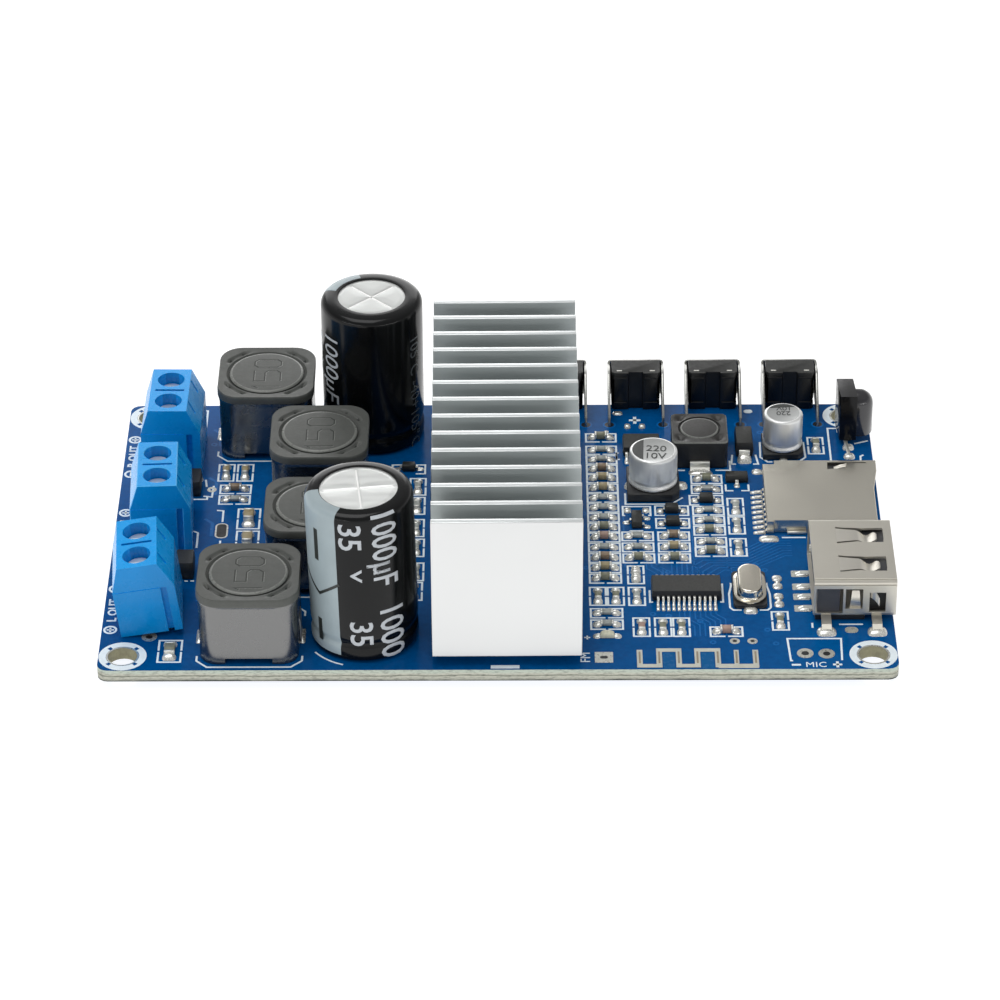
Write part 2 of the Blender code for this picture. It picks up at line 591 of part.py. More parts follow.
# ---------------------------------------------------------------- card socket
def card_socket():
    (x0, x1), (y0, y1), top, t = CARD_X, CARD_Y, CARD_TOP, CARD_WALL
    # sheet cover: roof with a step at the back left, folded down along the sides
    roof = [
        (x0, y0 - 0.3), (x0 + 0.9, y0 - 0.3), (x0 + 0.9, y0), (x1, y0), (x1 + 0.05, 6.9), (x1 + 0.65, 11.0), (x1 + 0.68, y1 - 0.1),
        (x0 + 1.5, y1 - 0.1), (x0 + 1.5, 12.5), (x0, 12.5),
    ]
    shell = finish(prism(bmesh.new(), roof, SEAT, top), "card_socket_shell", SHELL_NICKEL)
    place(shell, (0, 0, TOP))
    room = [(x0 + 0.2, y0 + t), (x1 + 2, y0 + t), (x1 + 2, y1 - 0.1 - t), (x0 + 1.7, y1 - 0.1 - t), (x0 + 1.7, 12.3), (x0 + 0.2, 12.3)]
    boolean(shell, place(finish(prism(bmesh.new(), room, -1, top - t), "cut_card_room", None), (0, 0, TOP)))
    notch = [(41.9, 11.3), (44.2, 11.6), (44.4, 12.75), (47.0, 12.7), (47.0, 12.95), (42.0, 12.95)]
    boolean(shell, place(finish(prism(bmesh.new(), notch, top - 1.0, top + 1.0), "cut_spring", None), (0, 0, TOP)))

    g = 0.1
    base = bmesh.new()
    floor = [(x0 + 0.3, y0 + t + g), (x1 - 0.2, y0 + t + g), (x1 - 0.2, y1 - 0.2 - t - g), (x0 + 1.9, y1 - 0.2 - t - g), (x0 + 1.9, 12.1), (x0 + 0.3, 12.1)]
    prism(base, floor, SEAT, 0.5)
    obj = finish(base, "card_socket_base", SOCKET_BLACK)
    place(obj, (0, 0, TOP))
    ledge = box(bmesh.new(), (x0 + 0.45, x0 + 2.4), (y0 + t + g + 0.1, 12.0), (0.3, top - t - 0.15))
    boolean(obj, place(finish(ledge, "contact_ledge", None), (0, 0, TOP)), "UNION")
    rail = box(bmesh.new(), (x0 + 2.0, x1 - 0.4), (11.7, 12.7), (0.3, top - t - 0.15))
    boolean(obj, place(finish(rail, "side_rail", None), (0, 0, TOP)), "UNION")


# ---------------------------------------------------------------- infrared receiver
def infrared():
    (x0, x1), (y0, y1), (z0, z1) = IR_X, IR_Y, IR_Z
    cy = (y0 + y1) / 2
    outline = [(x0, y0), (x1, y0), (x1, y1), (x0, y1)]
    body = finish(prism(bmesh.new(), outline, z0, z1), "ir_receiver", CHIP, 30)
    place(body, (0, 0, TOP))
    r = IR_DOME_R
    dome_top = z1 - 0.45 - r
    profile = [(r, z0 + 0.25), (r, dome_top)] + [
        (r * math.cos(a), dome_top + r * math.sin(a)) for a in (math.radians(d) for d in (20, 40, 58, 74))
    ]
    dome = finish(turned(bmesh.new(), profile, 24, x1 + 0.15, cy), "dome", None, 40)
    boolean(body, place(dome, (0, 0, TOP)), "UNION")
    leads = bmesh.new()
    tip = LEAD_TIP_Z - BOARD_T
    for k, y in enumerate(IR_LEADS_Y):
        start = cy + (k - 1) * 1.27
        x = 45.15
        prism(
            leads,
            [(start - 0.18, z0 + 0.5), (start - 0.18, 0.62 - 0.12 * k), (y - 0.2, 0.62 - 0.12 * k - 0.1), (y - 0.2, tip), (y + 0.2, tip), (y + 0.2, 0.3 - 0.12 * k), (start + 0.18, 0.35 - 0.12 * k), (start + 0.18, z0 + 0.5)]
            if k < 2
            else [(start - 0.2, z0 + 0.5), (y - 0.2, 0.3), (y - 0.2, tip), (y + 0.2, tip), (y + 0.2, 0.3), (start + 0.2, z0 + 0.5)],
            x - 0.22,
            x + 0.22,
            "x",
        )
        boolean(body, place(finish(leads, f"lead_{k}", None), (0, 0, TOP)), "UNION")
        leads = bmesh.new()
    leads.free()


# ---------------------------------------------------------------- small parts
def smd_capacitor(number, x, y, r, top, half, base_h, foot):
    c = half * 0.28
    outline = [(-half, -half), (half - c, -half), (half, -half + c), (half, half - c), (half - c, half), (-half, half)]
    base = finish(prism(bmesh.new(), outline, SEAT, base_h), f"smd_capacitor_base_{number}", SOCKET_BLACK)
    place(base, (x, y, TOP))
    can = turned(
        bmesh.new(),
        [(r - 0.15, foot), (r + 0.05, foot + 0.15), (r + 0.05, foot + 0.4), (r - 0.18, foot + 0.75), (r, foot + 1.1), (r, top - 0.3), (r - 0.3, top)],
        28,
    )
    place(finish(can, f"smd_capacitor_can_{number}", CAN_ALUMINIUM, 40), (x, y, TOP))


def power_inductor():
    x, y, w, d, h = POWER_INDUCTOR

    def ring(grow, r, z):
        return [(px, py, z) for px, py in rounded_rect(w + grow, d + grow, r, 2)]

    bm = loft(bmesh.new(), [ring(-0.3, 0.5, SEAT), ring(-0.1, 0.5, 0.4), ring(-0.1, 0.5, h - 1.0), ring(0, 0.6, h - 0.7), ring(0, 0.6, h - 0.15), ring(-0.3, 0.5, h)])
    place(finish(bm, "power_inductor", FERRITE, 30), (x, y, TOP))


def crystal():
    x, y, w, l, fw, fl = CRYSTAL
    z0, z1 = CRYSTAL_FLANGE_Z

    def ring(a, b, z, grow=0.0):
        return [(px, py, z) for px, py in rounded_rect(a + grow, b + grow, (a + grow) / 2 - 0.02, 6)]

    can = loft(bmesh.new(), [ring(fw, fl, z0), ring(fw, fl, z1 - 0.05), ring(fw, fl, z1, -0.15), ring(w, l, z1 + 0.05, 0.1), ring(w, l, z1 + 0.25), ring(w, l, CRYSTAL_TOP - 0.25), ring(w, l, CRYSTAL_TOP, -0.4)])
    place(finish(can, "crystal_can", CRYSTAL_NICKEL, 35), (x, y, TOP))
    base = prism(bmesh.new(), rounded_rect(fw + 0.2, fl + 0.3, 0.5, 2), SEAT, z0 - 0.05)
    place(finish(base, "crystal_base", SOCKET_BLACK), (x, y, TOP))


def chip(name, spec, mat, bevel=0.25):
    x, y, w, d, h = spec

    def ring(grow, z):
        a, b = (w + grow) / 2, (d + grow) / 2
        return [(-a, -b, z), (a, -b, z), (a, b, z), (-a, b, z)]

    bm = loft(bmesh.new(), [ring(-bevel, 0.1), ring(0, h * 0.5), ring(-bevel, h)])
    return place(finish(bm, name, mat), (x, y, TOP))


circuit_board()
heatsink()
amplifier()
for i, (xyz, turn, lean, nod) in enumerate(TERMINALS):
    terminal(i + 1, xyz, turn, lean, nod)
for i, (x, y) in enumerate(INDUCTORS):
    inductor(i + 1, x, y)
for i, (x, y, h, lean) in enumerate(CAPACITORS):
    capacitor(i + 1, x, y, h, lean)
for i in range(SWITCH_COUNT):
    switch(i + 1)
usb()
card_socket()
infrared()
for i, spec in enumerate(SMD_CAPS):
    smd_capacitor(i + 1, *spec)
power_inductor()
crystal()
chip("decoder_chip", DECODER, CHIP)
chip("regulator_chip", REGULATOR, CHIP)
chip("power_diode", POWER_DIODE, CHIP, 0.3)
chip("status_led", LED, LED_CLEAR, 0.1)
bpy.context.view_layer.update()
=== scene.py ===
import math
import random

import bmesh
import bpy
from mathutils import Matrix, Vector


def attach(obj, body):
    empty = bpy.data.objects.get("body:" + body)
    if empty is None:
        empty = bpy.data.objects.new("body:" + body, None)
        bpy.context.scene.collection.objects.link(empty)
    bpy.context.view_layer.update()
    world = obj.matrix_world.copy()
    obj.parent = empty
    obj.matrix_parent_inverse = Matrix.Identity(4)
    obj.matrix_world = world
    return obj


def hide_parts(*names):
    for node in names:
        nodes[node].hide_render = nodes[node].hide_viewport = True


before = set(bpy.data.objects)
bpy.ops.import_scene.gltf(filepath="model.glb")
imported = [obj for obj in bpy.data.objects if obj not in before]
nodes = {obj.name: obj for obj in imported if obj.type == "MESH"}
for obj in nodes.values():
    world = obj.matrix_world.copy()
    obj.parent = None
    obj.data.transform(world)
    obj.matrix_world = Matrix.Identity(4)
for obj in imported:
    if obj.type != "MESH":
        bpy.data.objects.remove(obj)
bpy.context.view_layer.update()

# Lengths are in millimetres, x and y from the board's centre, z from its top face,
# and are turned into metres when a mesh is made.
MM = 0.001
TOP = 1.6
FLOOR_Z = -1.3
rnd = random.Random(7)


# ================================================================ materials
def _new(name):
    m = bpy.data.materials.new(name)
    m.use_nodes = True
    t = m.node_tree
    return m, t.nodes, t.links, t.nodes["Principled BSDF"]


def _noise(ns, ls, scale, detail=4.0, rough=0.55, stretch=(1, 1, 1), offset=(0, 0, 0), distort=0.0):
    """Noise in object coordinates; scale is in features per millimetre."""
    tc = ns.new("ShaderNodeTexCoord")
    mp = ns.new("ShaderNodeMapping")
    mp.inputs["Scale"].default_value = stretch
    mp.inputs["Location"].default_value = offset
    nz = ns.new("ShaderNodeTexNoise")
    nz.inputs["Scale"].default_value = scale * 1000.0
    nz.inputs["Detail"].default_value = detail
    nz.inputs["Roughness"].default_value = rough
    nz.inputs["Distortion"].default_value = distort
    ls.new(tc.outputs["Object"], mp.inputs["Vector"])
    ls.new(mp.outputs["Vector"], nz.inputs["Vector"])
    return nz.outputs["Fac"]


def _ramp(ns, ls, fac, stops):
    r = ns.new("ShaderNodeValToRGB")
    e = r.color_ramp.elements
    while len(e) < len(stops):
        e.new(0.5)
    for k, (pos, col) in enumerate(stops):
        e[k].position = pos
        e[k].color = (*col, 1.0)
    ls.new(fac, r.inputs["Fac"])
    return r.outputs["Color"]


def _range(ns, ls, fac, lo, hi, a=0.35, b=0.65):
    r = ns.new("ShaderNodeMapRange")
    r.inputs["From Min"].default_value = a
    r.inputs["From Max"].default_value = b
    r.inputs["To Min"].default_value = lo
    r.inputs["To Max"].default_value = hi
    ls.new(fac, r.inputs["Value"])
    return r.outputs["Result"]


def _mix(ns, ls, fac, a, b, mode="MIX"):
    m = ns.new("ShaderNodeMix")
    m.data_type = "RGBA"
    m.blend_type = mode
    if isinstance(fac, float):
        m.inputs["Factor"].default_value = fac
    else:
        ls.new(fac, m.inputs["Factor"])
    for sock, v in (("A", a), ("B", b)):
        target = [i for i in m.inputs if i.name == sock and i.type == "RGBA"][0]
        if isinstance(v, tuple):
            target.default_value = (*v, 1.0)
        else:
            ls.new(v, target)
    return [o for o in m.outputs if o.type == "RGBA"][0]


def _bump(ns, ls, height, strength, dist_mm, under=None):
    b = ns.new("ShaderNodeBump")
    b.inputs["Strength"].default_value = strength
    b.inputs["Distance"].default_value = dist_mm * MM
    ls.new(height, b.inputs["Height"])
    if under is not None:
        ls.new(under, b.inputs["Normal"])
    return b.outputs["Normal"]


def srgb(r, g, b):
    def lin(c):
        c /= 255.0
        return c / 12.92 if c <= 0.04045 else ((c + 0.055) / 1.055) ** 2.4
    return (lin(r), lin(g), lin(b))


def surface(name, colour, vary=0.12, scale=0.6, rough=0.45, rough_vary=0.08, metal=0.0, bump=0.0, bump_scale=4.0,
            bump_mm=0.02, coat=0.0, spec=0.5, fine=0.0, stretch=(1, 1, 1), dark=None, ior=1.5):
    """A plain material with uneven colour, gloss and relief."""
    m, ns, ls, p = _new(name)
    lo = dark or tuple(c * (1 - vary) for c in colour)
    hi = tuple(min(1.0, c * (1 + vary)) for c in colour)
    n1 = _noise(ns, ls, scale, 5.0, stretch=stretch)
    col = _ramp(ns, ls, n1, [(0.3, lo), (0.7, hi)])
    if fine:
        n3 = _noise(ns, ls, 9.0, 3.0, 0.6, offset=(3, 1, 2))
        grey = _ramp(ns, ls, n3, [(0.35, (1 - fine,) * 3), (0.65, (1.0,) * 3)])
        col = _mix(ns, ls, 1.0, col, grey, "MULTIPLY")
    ls.new(col, p.inputs["Base Color"])
    n2 = _noise(ns, ls, scale * 2.3, 4.0, stretch=stretch, offset=(1, 2, 3))
    ls.new(_range(ns, ls, n2, max(0.02, rough - rough_vary), min(1.0, rough + rough_vary)), p.inputs["Roughness"])
    p.inputs["Metallic"].default_value = metal
    p.inputs["Specular IOR Level"].default_value = spec
    p.inputs["IOR"].default_value = ior
    p.inputs["Coat Weight"].default_value = coat
    p.inputs["Coat Roughness"].default_value = 0.12
    if bump:
        n4 = _noise(ns, ls, bump_scale, 3.0, 0.6, stretch=stretch, offset=(5, 5, 5))
        ls.new(_bump(ns, ls, n4, bump, bump_mm), p.inputs["Normal"])
    return m


def solder_mask():
    """Blue lacquer over copper: broad tone changes, faint weave, soft gloss."""
    m, ns, ls, p = _new("solder_mask_blue")
    broad = _noise(ns, ls, 0.035, 3.0, 0.5)
    col = _ramp(ns, ls, broad, [(0.3, srgb(0, 75, 136)), (0.55, srgb(0, 83, 148)), (0.75, srgb(2, 91, 155))])
    weave = _noise(ns, ls, 1.6, 2.0, 0.5, offset=(1, 1, 1))
    shade = _ramp(ns, ls, weave, [(0.35, (0.86,) * 3), (0.65, (1.0,) * 3)])
    col = _mix(ns, ls, 1.0, col, shade, "MULTIPLY")
    ls.new(col, p.inputs["Base Color"])
    r = _noise(ns, ls, 0.5, 3.0, offset=(2, 2, 2))
    ls.new(_range(ns, ls, r, 0.14, 0.22), p.inputs["Roughness"])
    p.inputs["Specular IOR Level"].default_value = 0.075
    n = _noise(ns, ls, 2.2, 2.0, offset=(4, 4, 4))
    ls.new(_bump(ns, ls, n, 0.05, 0.01), p.inputs["Normal"])
    return m


def board_edge():
    """Sawn glass laminate: pale, with broken layers and a dark lower rim."""
    m, ns, ls, p = _new("board_edge_laminate")
    tc = ns.new("ShaderNodeTexCoord")
    sep = ns.new("ShaderNodeSeparateXYZ")
    ls.new(tc.outputs["Object"], sep.inputs["Vector"])
    z = ns.new("ShaderNodeMapRange")
    z.inputs["From Min"].default_value = 0.0
    z.inputs["From Max"].default_value = TOP * MM
    ls.new(sep.outputs["Z"], z.inputs["Value"])
    wob = _noise(ns, ls, 0.35, 4.0, 0.6, stretch=(1, 1, 3))
    add = ns.new("ShaderNodeMath")
    add.operation = "MULTIPLY_ADD"
    ls.new(wob, add.inputs[0])
    add.inputs[1].default_value = 0.30
    ls.new(z.outputs["Result"], add.inputs[2])
    band = _ramp(ns, ls, add.outputs["Value"], [
        (0.20, srgb(58, 64, 60)), (0.29, srgb(160, 162, 150)), (0.52, srgb(194, 194, 180)),
        (0.62, srgb(122, 127, 113)), (0.73, srgb(192, 192, 178)), (1.0, srgb(186, 197, 184)),
    ])
    speck = _noise(ns, ls, 1.3, 5.0, 0.65, stretch=(1, 1, 4), offset=(7, 2, 1))
    shade = _ramp(ns, ls, speck, [(0.36, (0.58,) * 3), (0.52, (1.0,) * 3)])
    ls.new(_mix(ns, ls, 1.0, band, shade, "MULTIPLY"), p.inputs["Base Color"])
    ls.new(_range(ns, ls, speck, 0.55, 0.8), p.inputs["Roughness"])
    ls.new(_bump(ns, ls, speck, 0.5, 0.04), p.inputs["Normal"])
    return m


def brushed(name, colour, rough, axis="x", amount=0.10, metal=1.0, line=3.0, bump=0.1):
    """Metal with fine straight scratches along one axis."""
    m, ns, ls, p = _new(name)
    stretch = {"x": (0.06, 1, 1), "y": (1, 0.06, 1), "z": (1, 1, 0.06)}[axis]
    n = _noise(ns, ls, line, 5.0, 0.65, stretch=stretch)
    lo = tuple(c * (1 - amount) for c in colour)
    hi = tuple(min(1.0, c * (1 + amount)) for c in colour)
    broad = _noise(ns, ls, 0.12, 3.0, 0.5, offset=(2, 1, 3))
    col = _ramp(ns, ls, n, [(0.3, lo), (0.7, hi)])
    tone = _ramp(ns, ls, broad, [(0.3, (0.93,) * 3), (0.7, (1.0,) * 3)])
    ls.new(_mix(ns, ls, 1.0, col, tone, "MULTIPLY"), p.inputs["Base Color"])
    ls.new(_range(ns, ls, n, rough * 0.8, rough * 1.25), p.inputs["Roughness"])
    p.inputs["Metallic"].default_value = metal
    ls.new(_bump(ns, ls, n, bump, 0.02), p.inputs["Normal"])
    return m


M = {}
M["mask"] = solder_mask()
M["edge"] = board_edge()
M["hole"] = surface("board_hole_wall", srgb(150, 146, 118), 0.2, 1.2, 0.6, bump=0.3)
M["copper"] = surface("track_under_mask", srgb(14, 100, 170), 0.08, 0.4, 0.2, spec=0.12)
M["track_core"] = surface("tinned_track_core", srgb(150, 138, 120), 0.12, 1.2, 0.40, metal=0.3)
M["bare"] = surface("bare_laminate_teal", srgb(0, 88, 146), 0.05, 0.5, 0.25, spec=0.12)
M["silk"] = surface("printed_white", srgb(236, 246, 252), 0.04, 1.5, 0.55, bump=0.1, bump_scale=6)
M["tin"] = surface("tinned_pad", srgb(206, 206, 198), 0.10, 1.4, 0.34, 0.10, metal=0.7, bump=0.12, bump_scale=2.5)
M["solder"] = surface("solder_bright", srgb(226, 226, 220), 0.08, 1.8, 0.24, 0.08, metal=0.65, bump=0.14, bump_scale=1.6, bump_mm=0.05)
M["antenna"] = surface("tinned_track", srgb(206, 206, 194), 0.06, 0.9, 0.40, 0.08, metal=0.55, bump=0.06, bump_scale=2.0)
M["lead"] = surface("lead_tin", srgb(226, 226, 220), 0.07, 1.2, 0.34, 0.06, metal=0.85, bump=0.03, bump_scale=3)
M["terminal"] = surface("terminal_plastic", srgb(8, 158, 236), 0.05, 0.25, 0.28, 0.05, bump=0.03, bump_scale=1.2, spec=0.36)
# painted shade: a darker copy of the housing plastic for the end faces that point to the front
M["terminal_front"] = surface("terminal_end_face_painted_shade", srgb(2, 134, 206), 0.05, 0.25, 0.28, 0.05, bump=0.03, bump_scale=1.2, spec=0.36)
# painted highlight: a lighter, glossier copy of the housing plastic for the bevelled edges
M["terminal_edge_painted_highlight"] = surface("terminal_edge_painted_highlight", srgb(76, 182, 242), 0.05, 0.5, 0.22, 0.04, spec=0.5)
M["screw"] = brushed("screw_metal", srgb(236, 238, 238), 0.42, "x", 0.06, metal=0.8)
M["clamp"] = brushed("clamp_metal", srgb(176, 174, 168), 0.32, "x", 0.12)
M["pin"] = surface("contact_tin", srgb(206, 206, 200), 0.08, 1.5, 0.28, metal=1.0, bump=0.15)
M["ferrite"] = surface("ferrite_top", srgb(84, 86, 83), 0.07, 0.9, 0.44, 0.06, bump=0.35, bump_scale=3.0, fine=0.10, spec=0.3)
# painted shade: a darker copy of the ferrite for the groove round the disc, the corner pockets, the recess under the
# body and the moulded digits
M["ferrite_dark"] = surface("ferrite_groove_painted_shade", srgb(54, 56, 54), 0.07, 0.9, 0.5, 0.06, spec=0.2)
# painted highlight: a lighter, glossier copy of the ferrite for rounded rims and the lit edge of the moulded digits
M["ferrite_rim_painted_highlight"] = surface("ferrite_rim_painted_highlight", srgb(114, 116, 112), 0.06, 0.9, 0.30, 0.05, bump=0.1, bump_scale=3.0, spec=0.5)
M["ferrite_side"] = surface("ferrite_side", srgb(15, 16, 17), 0.06, 0.2, 0.26, 0.03, ior=2.55)
M["sleeve"] = surface("cap_sleeve", srgb(11, 12, 13), 0.08, 0.12, 0.17, 0.03, bump=0.03, bump_scale=0.4, spec=0.25)
M["stripe"] = surface("cap_stripe", srgb(153, 167, 172), 0.05, 0.4, 0.4, 0.05, spec=0.5)
M["print_faint"] = surface("cap_fine_print", srgb(84, 90, 92), 0.08, 0.8, 0.45, 0.05)
M["print"] = surface("cap_print", srgb(182, 187, 192), 0.05, 0.8, 0.45, 0.05)
# painted highlight: bright lines for the scored grooves in the capacitor lids
M["score"] = surface("scored_line_painted_highlight", srgb(250, 250, 248), 0.03, 1.0, 0.4, metal=0.2)
M["can_top"] = brushed("can_top_aluminium", srgb(228, 230, 228), 0.36, "x", 0.04, line=1.5, metal=0.7)
# painted shade: a darker copy of the lid aluminium, used on the back capacitor
M["can_top_painted_shade"] = brushed("can_top_painted_shade", srgb(208, 210, 208), 0.40, "x", 0.04, line=1.5, metal=0.6)
M["smd_top"] = brushed("smd_can_top", srgb(174, 176, 175), 0.40, "x", 0.03, line=2.0, metal=0.6)
M["smd_can"] = brushed("smd_can_aluminium", srgb(240, 241, 240), 0.40, "z", 0.03, line=4.0, bump=0.02, metal=0.75)
M["black_ink"] = surface("black_ink", srgb(38, 42, 40), 0.10, 1.2, 0.4)
M["chip"] = surface("chip_moulding", srgb(38, 39, 37), 0.10, 1.5, 0.5, 0.06, bump=0.35, bump_scale=7.0, fine=0.12)
# painted shade: a darker copy of the chip moulding for faces that don't point up, and for the amplifier chip under the
# heatsink
M["chip_dark"] = surface("chip_side_painted_shade", srgb(24, 24, 25), 0.15, 1.5, 0.45, bump=0.3, bump_scale=7.0)
M["resistor"] = surface("resistor_glaze", srgb(168, 173, 169), 0.16, 1.2, 0.35, fine=0.15)
M["ceramic_tan"] = surface("ceramic_tan", srgb(166, 152, 118), 0.12, 1.5, 0.45, fine=0.08)
M["ceramic_brown"] = surface("ceramic_brown", srgb(144, 124, 102), 0.14, 1.5, 0.42, fine=0.08)
M["ceramic_pink"] = surface("ceramic_pink", srgb(168, 140, 128), 0.12, 1.5, 0.45, fine=0.08)
M["ceramic_olive"] = surface("ceramic_olive", srgb(130, 131, 112), 0.12, 1.5, 0.45, fine=0.08)
M["switch"] = surface("switch_moulding", srgb(15, 16, 17), 0.12, 0.8, 0.4, 0.06, bump=0.2, bump_scale=4.0)
# painted light: a lighter copy of the switch moulding for its top faces
M["switch_top"] = surface("switch_roof_painted_light", srgb(28, 29, 27), 0.08, 0.8, 0.5, 0.06, bump=0.2, bump_scale=4.0)
M["peg"] = surface("peg_end", srgb(214, 214, 206), 0.05, 1.0, 0.5)
M["bracket"] = brushed("bracket_sheet", srgb(170, 170, 166), 0.3, "z", 0.08)
M["shell"] = surface("shell_nickel", srgb(208, 204, 193), 0.012, 0.12, 0.34, 0.015, metal=0.85)
M["card"] = surface("card_cover_steel", srgb(211, 207, 195), 0.012, 0.10, 0.22, 0.02, metal=0.9)
M["spring"] = surface("contact_spring", srgb(218, 214, 204), 0.012, 0.12, 0.30, 0.02, metal=0.9)
M["pind_top"] = surface("power_inductor_top", srgb(38, 37, 35), 0.08, 1.2, 0.42, 0.06, bump=0.25, bump_scale=5.0, fine=0.1)
# black mouldings, also used as painted shade in open holes and inside the USB shell
M["black"] = surface("black_moulding_and_painted_shade", srgb(28, 29, 31), 0.12, 0.8, 0.42, bump=0.2, bump_scale=4.0)
M["grey_block"] = surface("socket_block", srgb(58, 60, 66), 0.08, 0.8, 0.4, bump=0.15, bump_scale=4.0)
M["crystal"] = brushed("crystal_nickel", srgb(226, 220, 206), 0.17, "y", 0.03, line=1.0, bump=0.03)
M["ir"] = surface("ir_body", srgb(14, 14, 16), 0.10, 1.0, 0.16, 0.04, bump=0.02, bump_scale=5, spec=0.22)
# painted light: a lighter, duller copy of the body moulding for its top faces
M["ir_top"] = surface("ir_roof_painted_light", srgb(44, 44, 45), 0.10, 1.0, 0.40, bump=0.15, bump_scale=5)
M["ir_dome"] = surface("ir_dome", srgb(36, 36, 40), 0.08, 0.5, 0.16, 0.03, spec=0.6, coat=0.3)
M["led"] = surface("led_resin", srgb(216, 214, 190), 0.08, 1.5, 0.25, spec=0.5)
M["pad"] = surface("thermal_pad_grey", srgb(150, 156, 166), 0.08, 1.0, 0.8, bump=0.3)
M["gold_dark"] = surface("lead_reflection_brown", srgb(112, 98, 86), 0.15, 1.5, 0.3, metal=0.9)


def aluminium_fins():
    """Extruded aluminium: long drawn lines down the walls, sawn scratches on the tips."""
    m, ns, ls, p = _new("heatsink_aluminium")
    n = _noise(ns, ls, 2.6, 5.0, 0.65, stretch=(0.05, 1, 1))
    n2 = _noise(ns, ls, 1.1, 4.0, 0.6, stretch=(1.0, 0.25, 0.3), offset=(3, 2, 1))
    col = _ramp(ns, ls, n, [(0.3, srgb(206, 211, 211)), (0.7, srgb(222, 226, 226))])
    tone = _ramp(ns, ls, n2, [(0.3, (0.93,) * 3), (0.7, (1.0,) * 3)])
    ls.new(_mix(ns, ls, 1.0, col, tone, "MULTIPLY"), p.inputs["Base Color"])
    ls.new(_range(ns, ls, n, 0.36, 0.48), p.inputs["Roughness"])
    p.inputs["Metallic"].default_value = 1.0
    ls.new(_bump(ns, ls, n, 0.12, 0.02), p.inputs["Normal"])
    return m


M["fins"] = aluminium_fins()
# painted shade: a darker, less metallic copy of the aluminium for the fin walls facing front and back
M["fin_wall"] = brushed("heatsink_fin_wall", srgb(172, 179, 179), 0.50, "x", 0.02, metal=0.55, line=2.2, bump=0.01)
# the sawn tips: a real rougher finish, and a lighter colour as painted highlight
M["fin_tip"] = surface("heatsink_sawn_tip_and_painted_highlight", srgb(226, 230, 230), 0.04, 1.2, 0.36, 0.06, metal=0.7, stretch=(0.2, 1, 1))
M["sink_front"] = surface("heatsink_front", srgb(219, 220, 220), 0.008, 0.06, 0.34, 0.02, metal=1.0)


# ================================================================ mesh helpers
def build(bm, name, mats, body="board", smooth=None, lift=TOP, replaces=(), bevel=0.0, bevel_seg=2, bevel_deg=35, edge_mat=-1):
    """A bmesh drawn in millimetres above the board's top, as a piece that rides on a body."""
    bmesh.ops.translate(bm, vec=(0, 0, lift), verts=bm.verts)
    bmesh.ops.scale(bm, vec=(MM, MM, MM), verts=bm.verts)
    bmesh.ops.recalc_face_normals(bm, faces=bm.faces)
    if bevel:
        sharp = [e for e in bm.edges if len(e.link_faces) == 2 and e.calc_face_angle(0.0) > math.radians(bevel_deg)]
        bmesh.ops.bevel(bm, geom=sharp, offset=bevel * MM, segments=bevel_seg, profile=0.5, affect="EDGES", clamp_overlap=True, material=edge_mat)
    me = bpy.data.meshes.new(name)
    bm.to_mesh(me)
    bm.free()
    ob = bpy.data.objects.new(name, me)
    bpy.context.scene.collection.objects.link(ob)
    for mt in (mats if isinstance(mats, (list, tuple)) else [mats]):
        me.materials.append(mt)
    if smooth:
        me.shade_smooth()
        me.set_sharp_from_angle(angle=math.radians(smooth))
    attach(ob, body)
    if replaces:
        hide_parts(*replaces)
    return ob


def node_bm(name):
    """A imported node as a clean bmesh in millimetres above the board's top."""
    bm = bmesh.new()
    bm.from_mesh(nodes[name].data)
    bmesh.ops.remove_doubles(bm, verts=bm.verts, dist=1e-6)
    bmesh.ops.scale(bm, vec=(1000, 1000, 1000), verts=bm.verts)
    bmesh.ops.translate(bm, vec=(0, 0, -TOP), verts=bm.verts)
    bmesh.ops.dissolve_limit(bm, angle_limit=math.radians(0.6), verts=bm.verts, edges=bm.edges)
    for f in bm.faces:
        f.material_index = 0
        f.smooth = False
    return bm


def remade(node, mats, body="board", bevel=0.06, smooth=40, seg=2, paint=None, bevel_deg=35, name=None, edge_mat=-1):
    bm = node_bm(node)
    if paint:
        bm.normal_update()
        for f in bm.faces:
            f.material_index = paint(f.calc_center_median(), f.normal)
    return build(bm, name or node + "_look", mats, body, smooth, replaces=(node,), bevel=bevel, bevel_seg=seg, bevel_deg=bevel_deg, edge_mat=edge_mat)


def box(bm, x, y, z, mi=0):
    v = [bm.verts.new((a, b, c)) for c in z for b in y for a in x]
    out = []
    for f in ((0, 2, 3, 1), (4, 5, 7, 6), (0, 1, 5, 4), (1, 3, 7, 5), (3, 2, 6, 7), (2, 0, 4, 6)):
        face = bm.faces.new([v[i] for i in f])
        face.material_index = mi
        out.append(face)
    return out


def loft(bm, rings, mi=0, cap0=True, cap1=True, mats=None):
    made = [[bm.verts.new(p) for p in ring] for ring in rings]
    n = len(made[0])
    for k, (lo, hi) in enumerate(zip(made, made[1:])):
        for i in range(n):
            f = bm.faces.new((lo[i], lo[(i + 1) % n], hi[(i + 1) % n], hi[i]))
            f.material_index = mats[k] if mats else mi
    if cap0:
        bm.faces.new(made[0][::-1]).material_index = mats[0] if mats else mi
    if cap1:
        bm.faces.new(made[-1]).material_index = mats[-1] if mats else mi
    return made


def circle(r, n, cx=0.0, cy=0.0, a0=0.0):
    return [(cx + r * math.cos(a0 + 2 * math.pi * i / n), cy + r * math.sin(a0 + 2 * math.pi * i / n)) for i in range(n)]


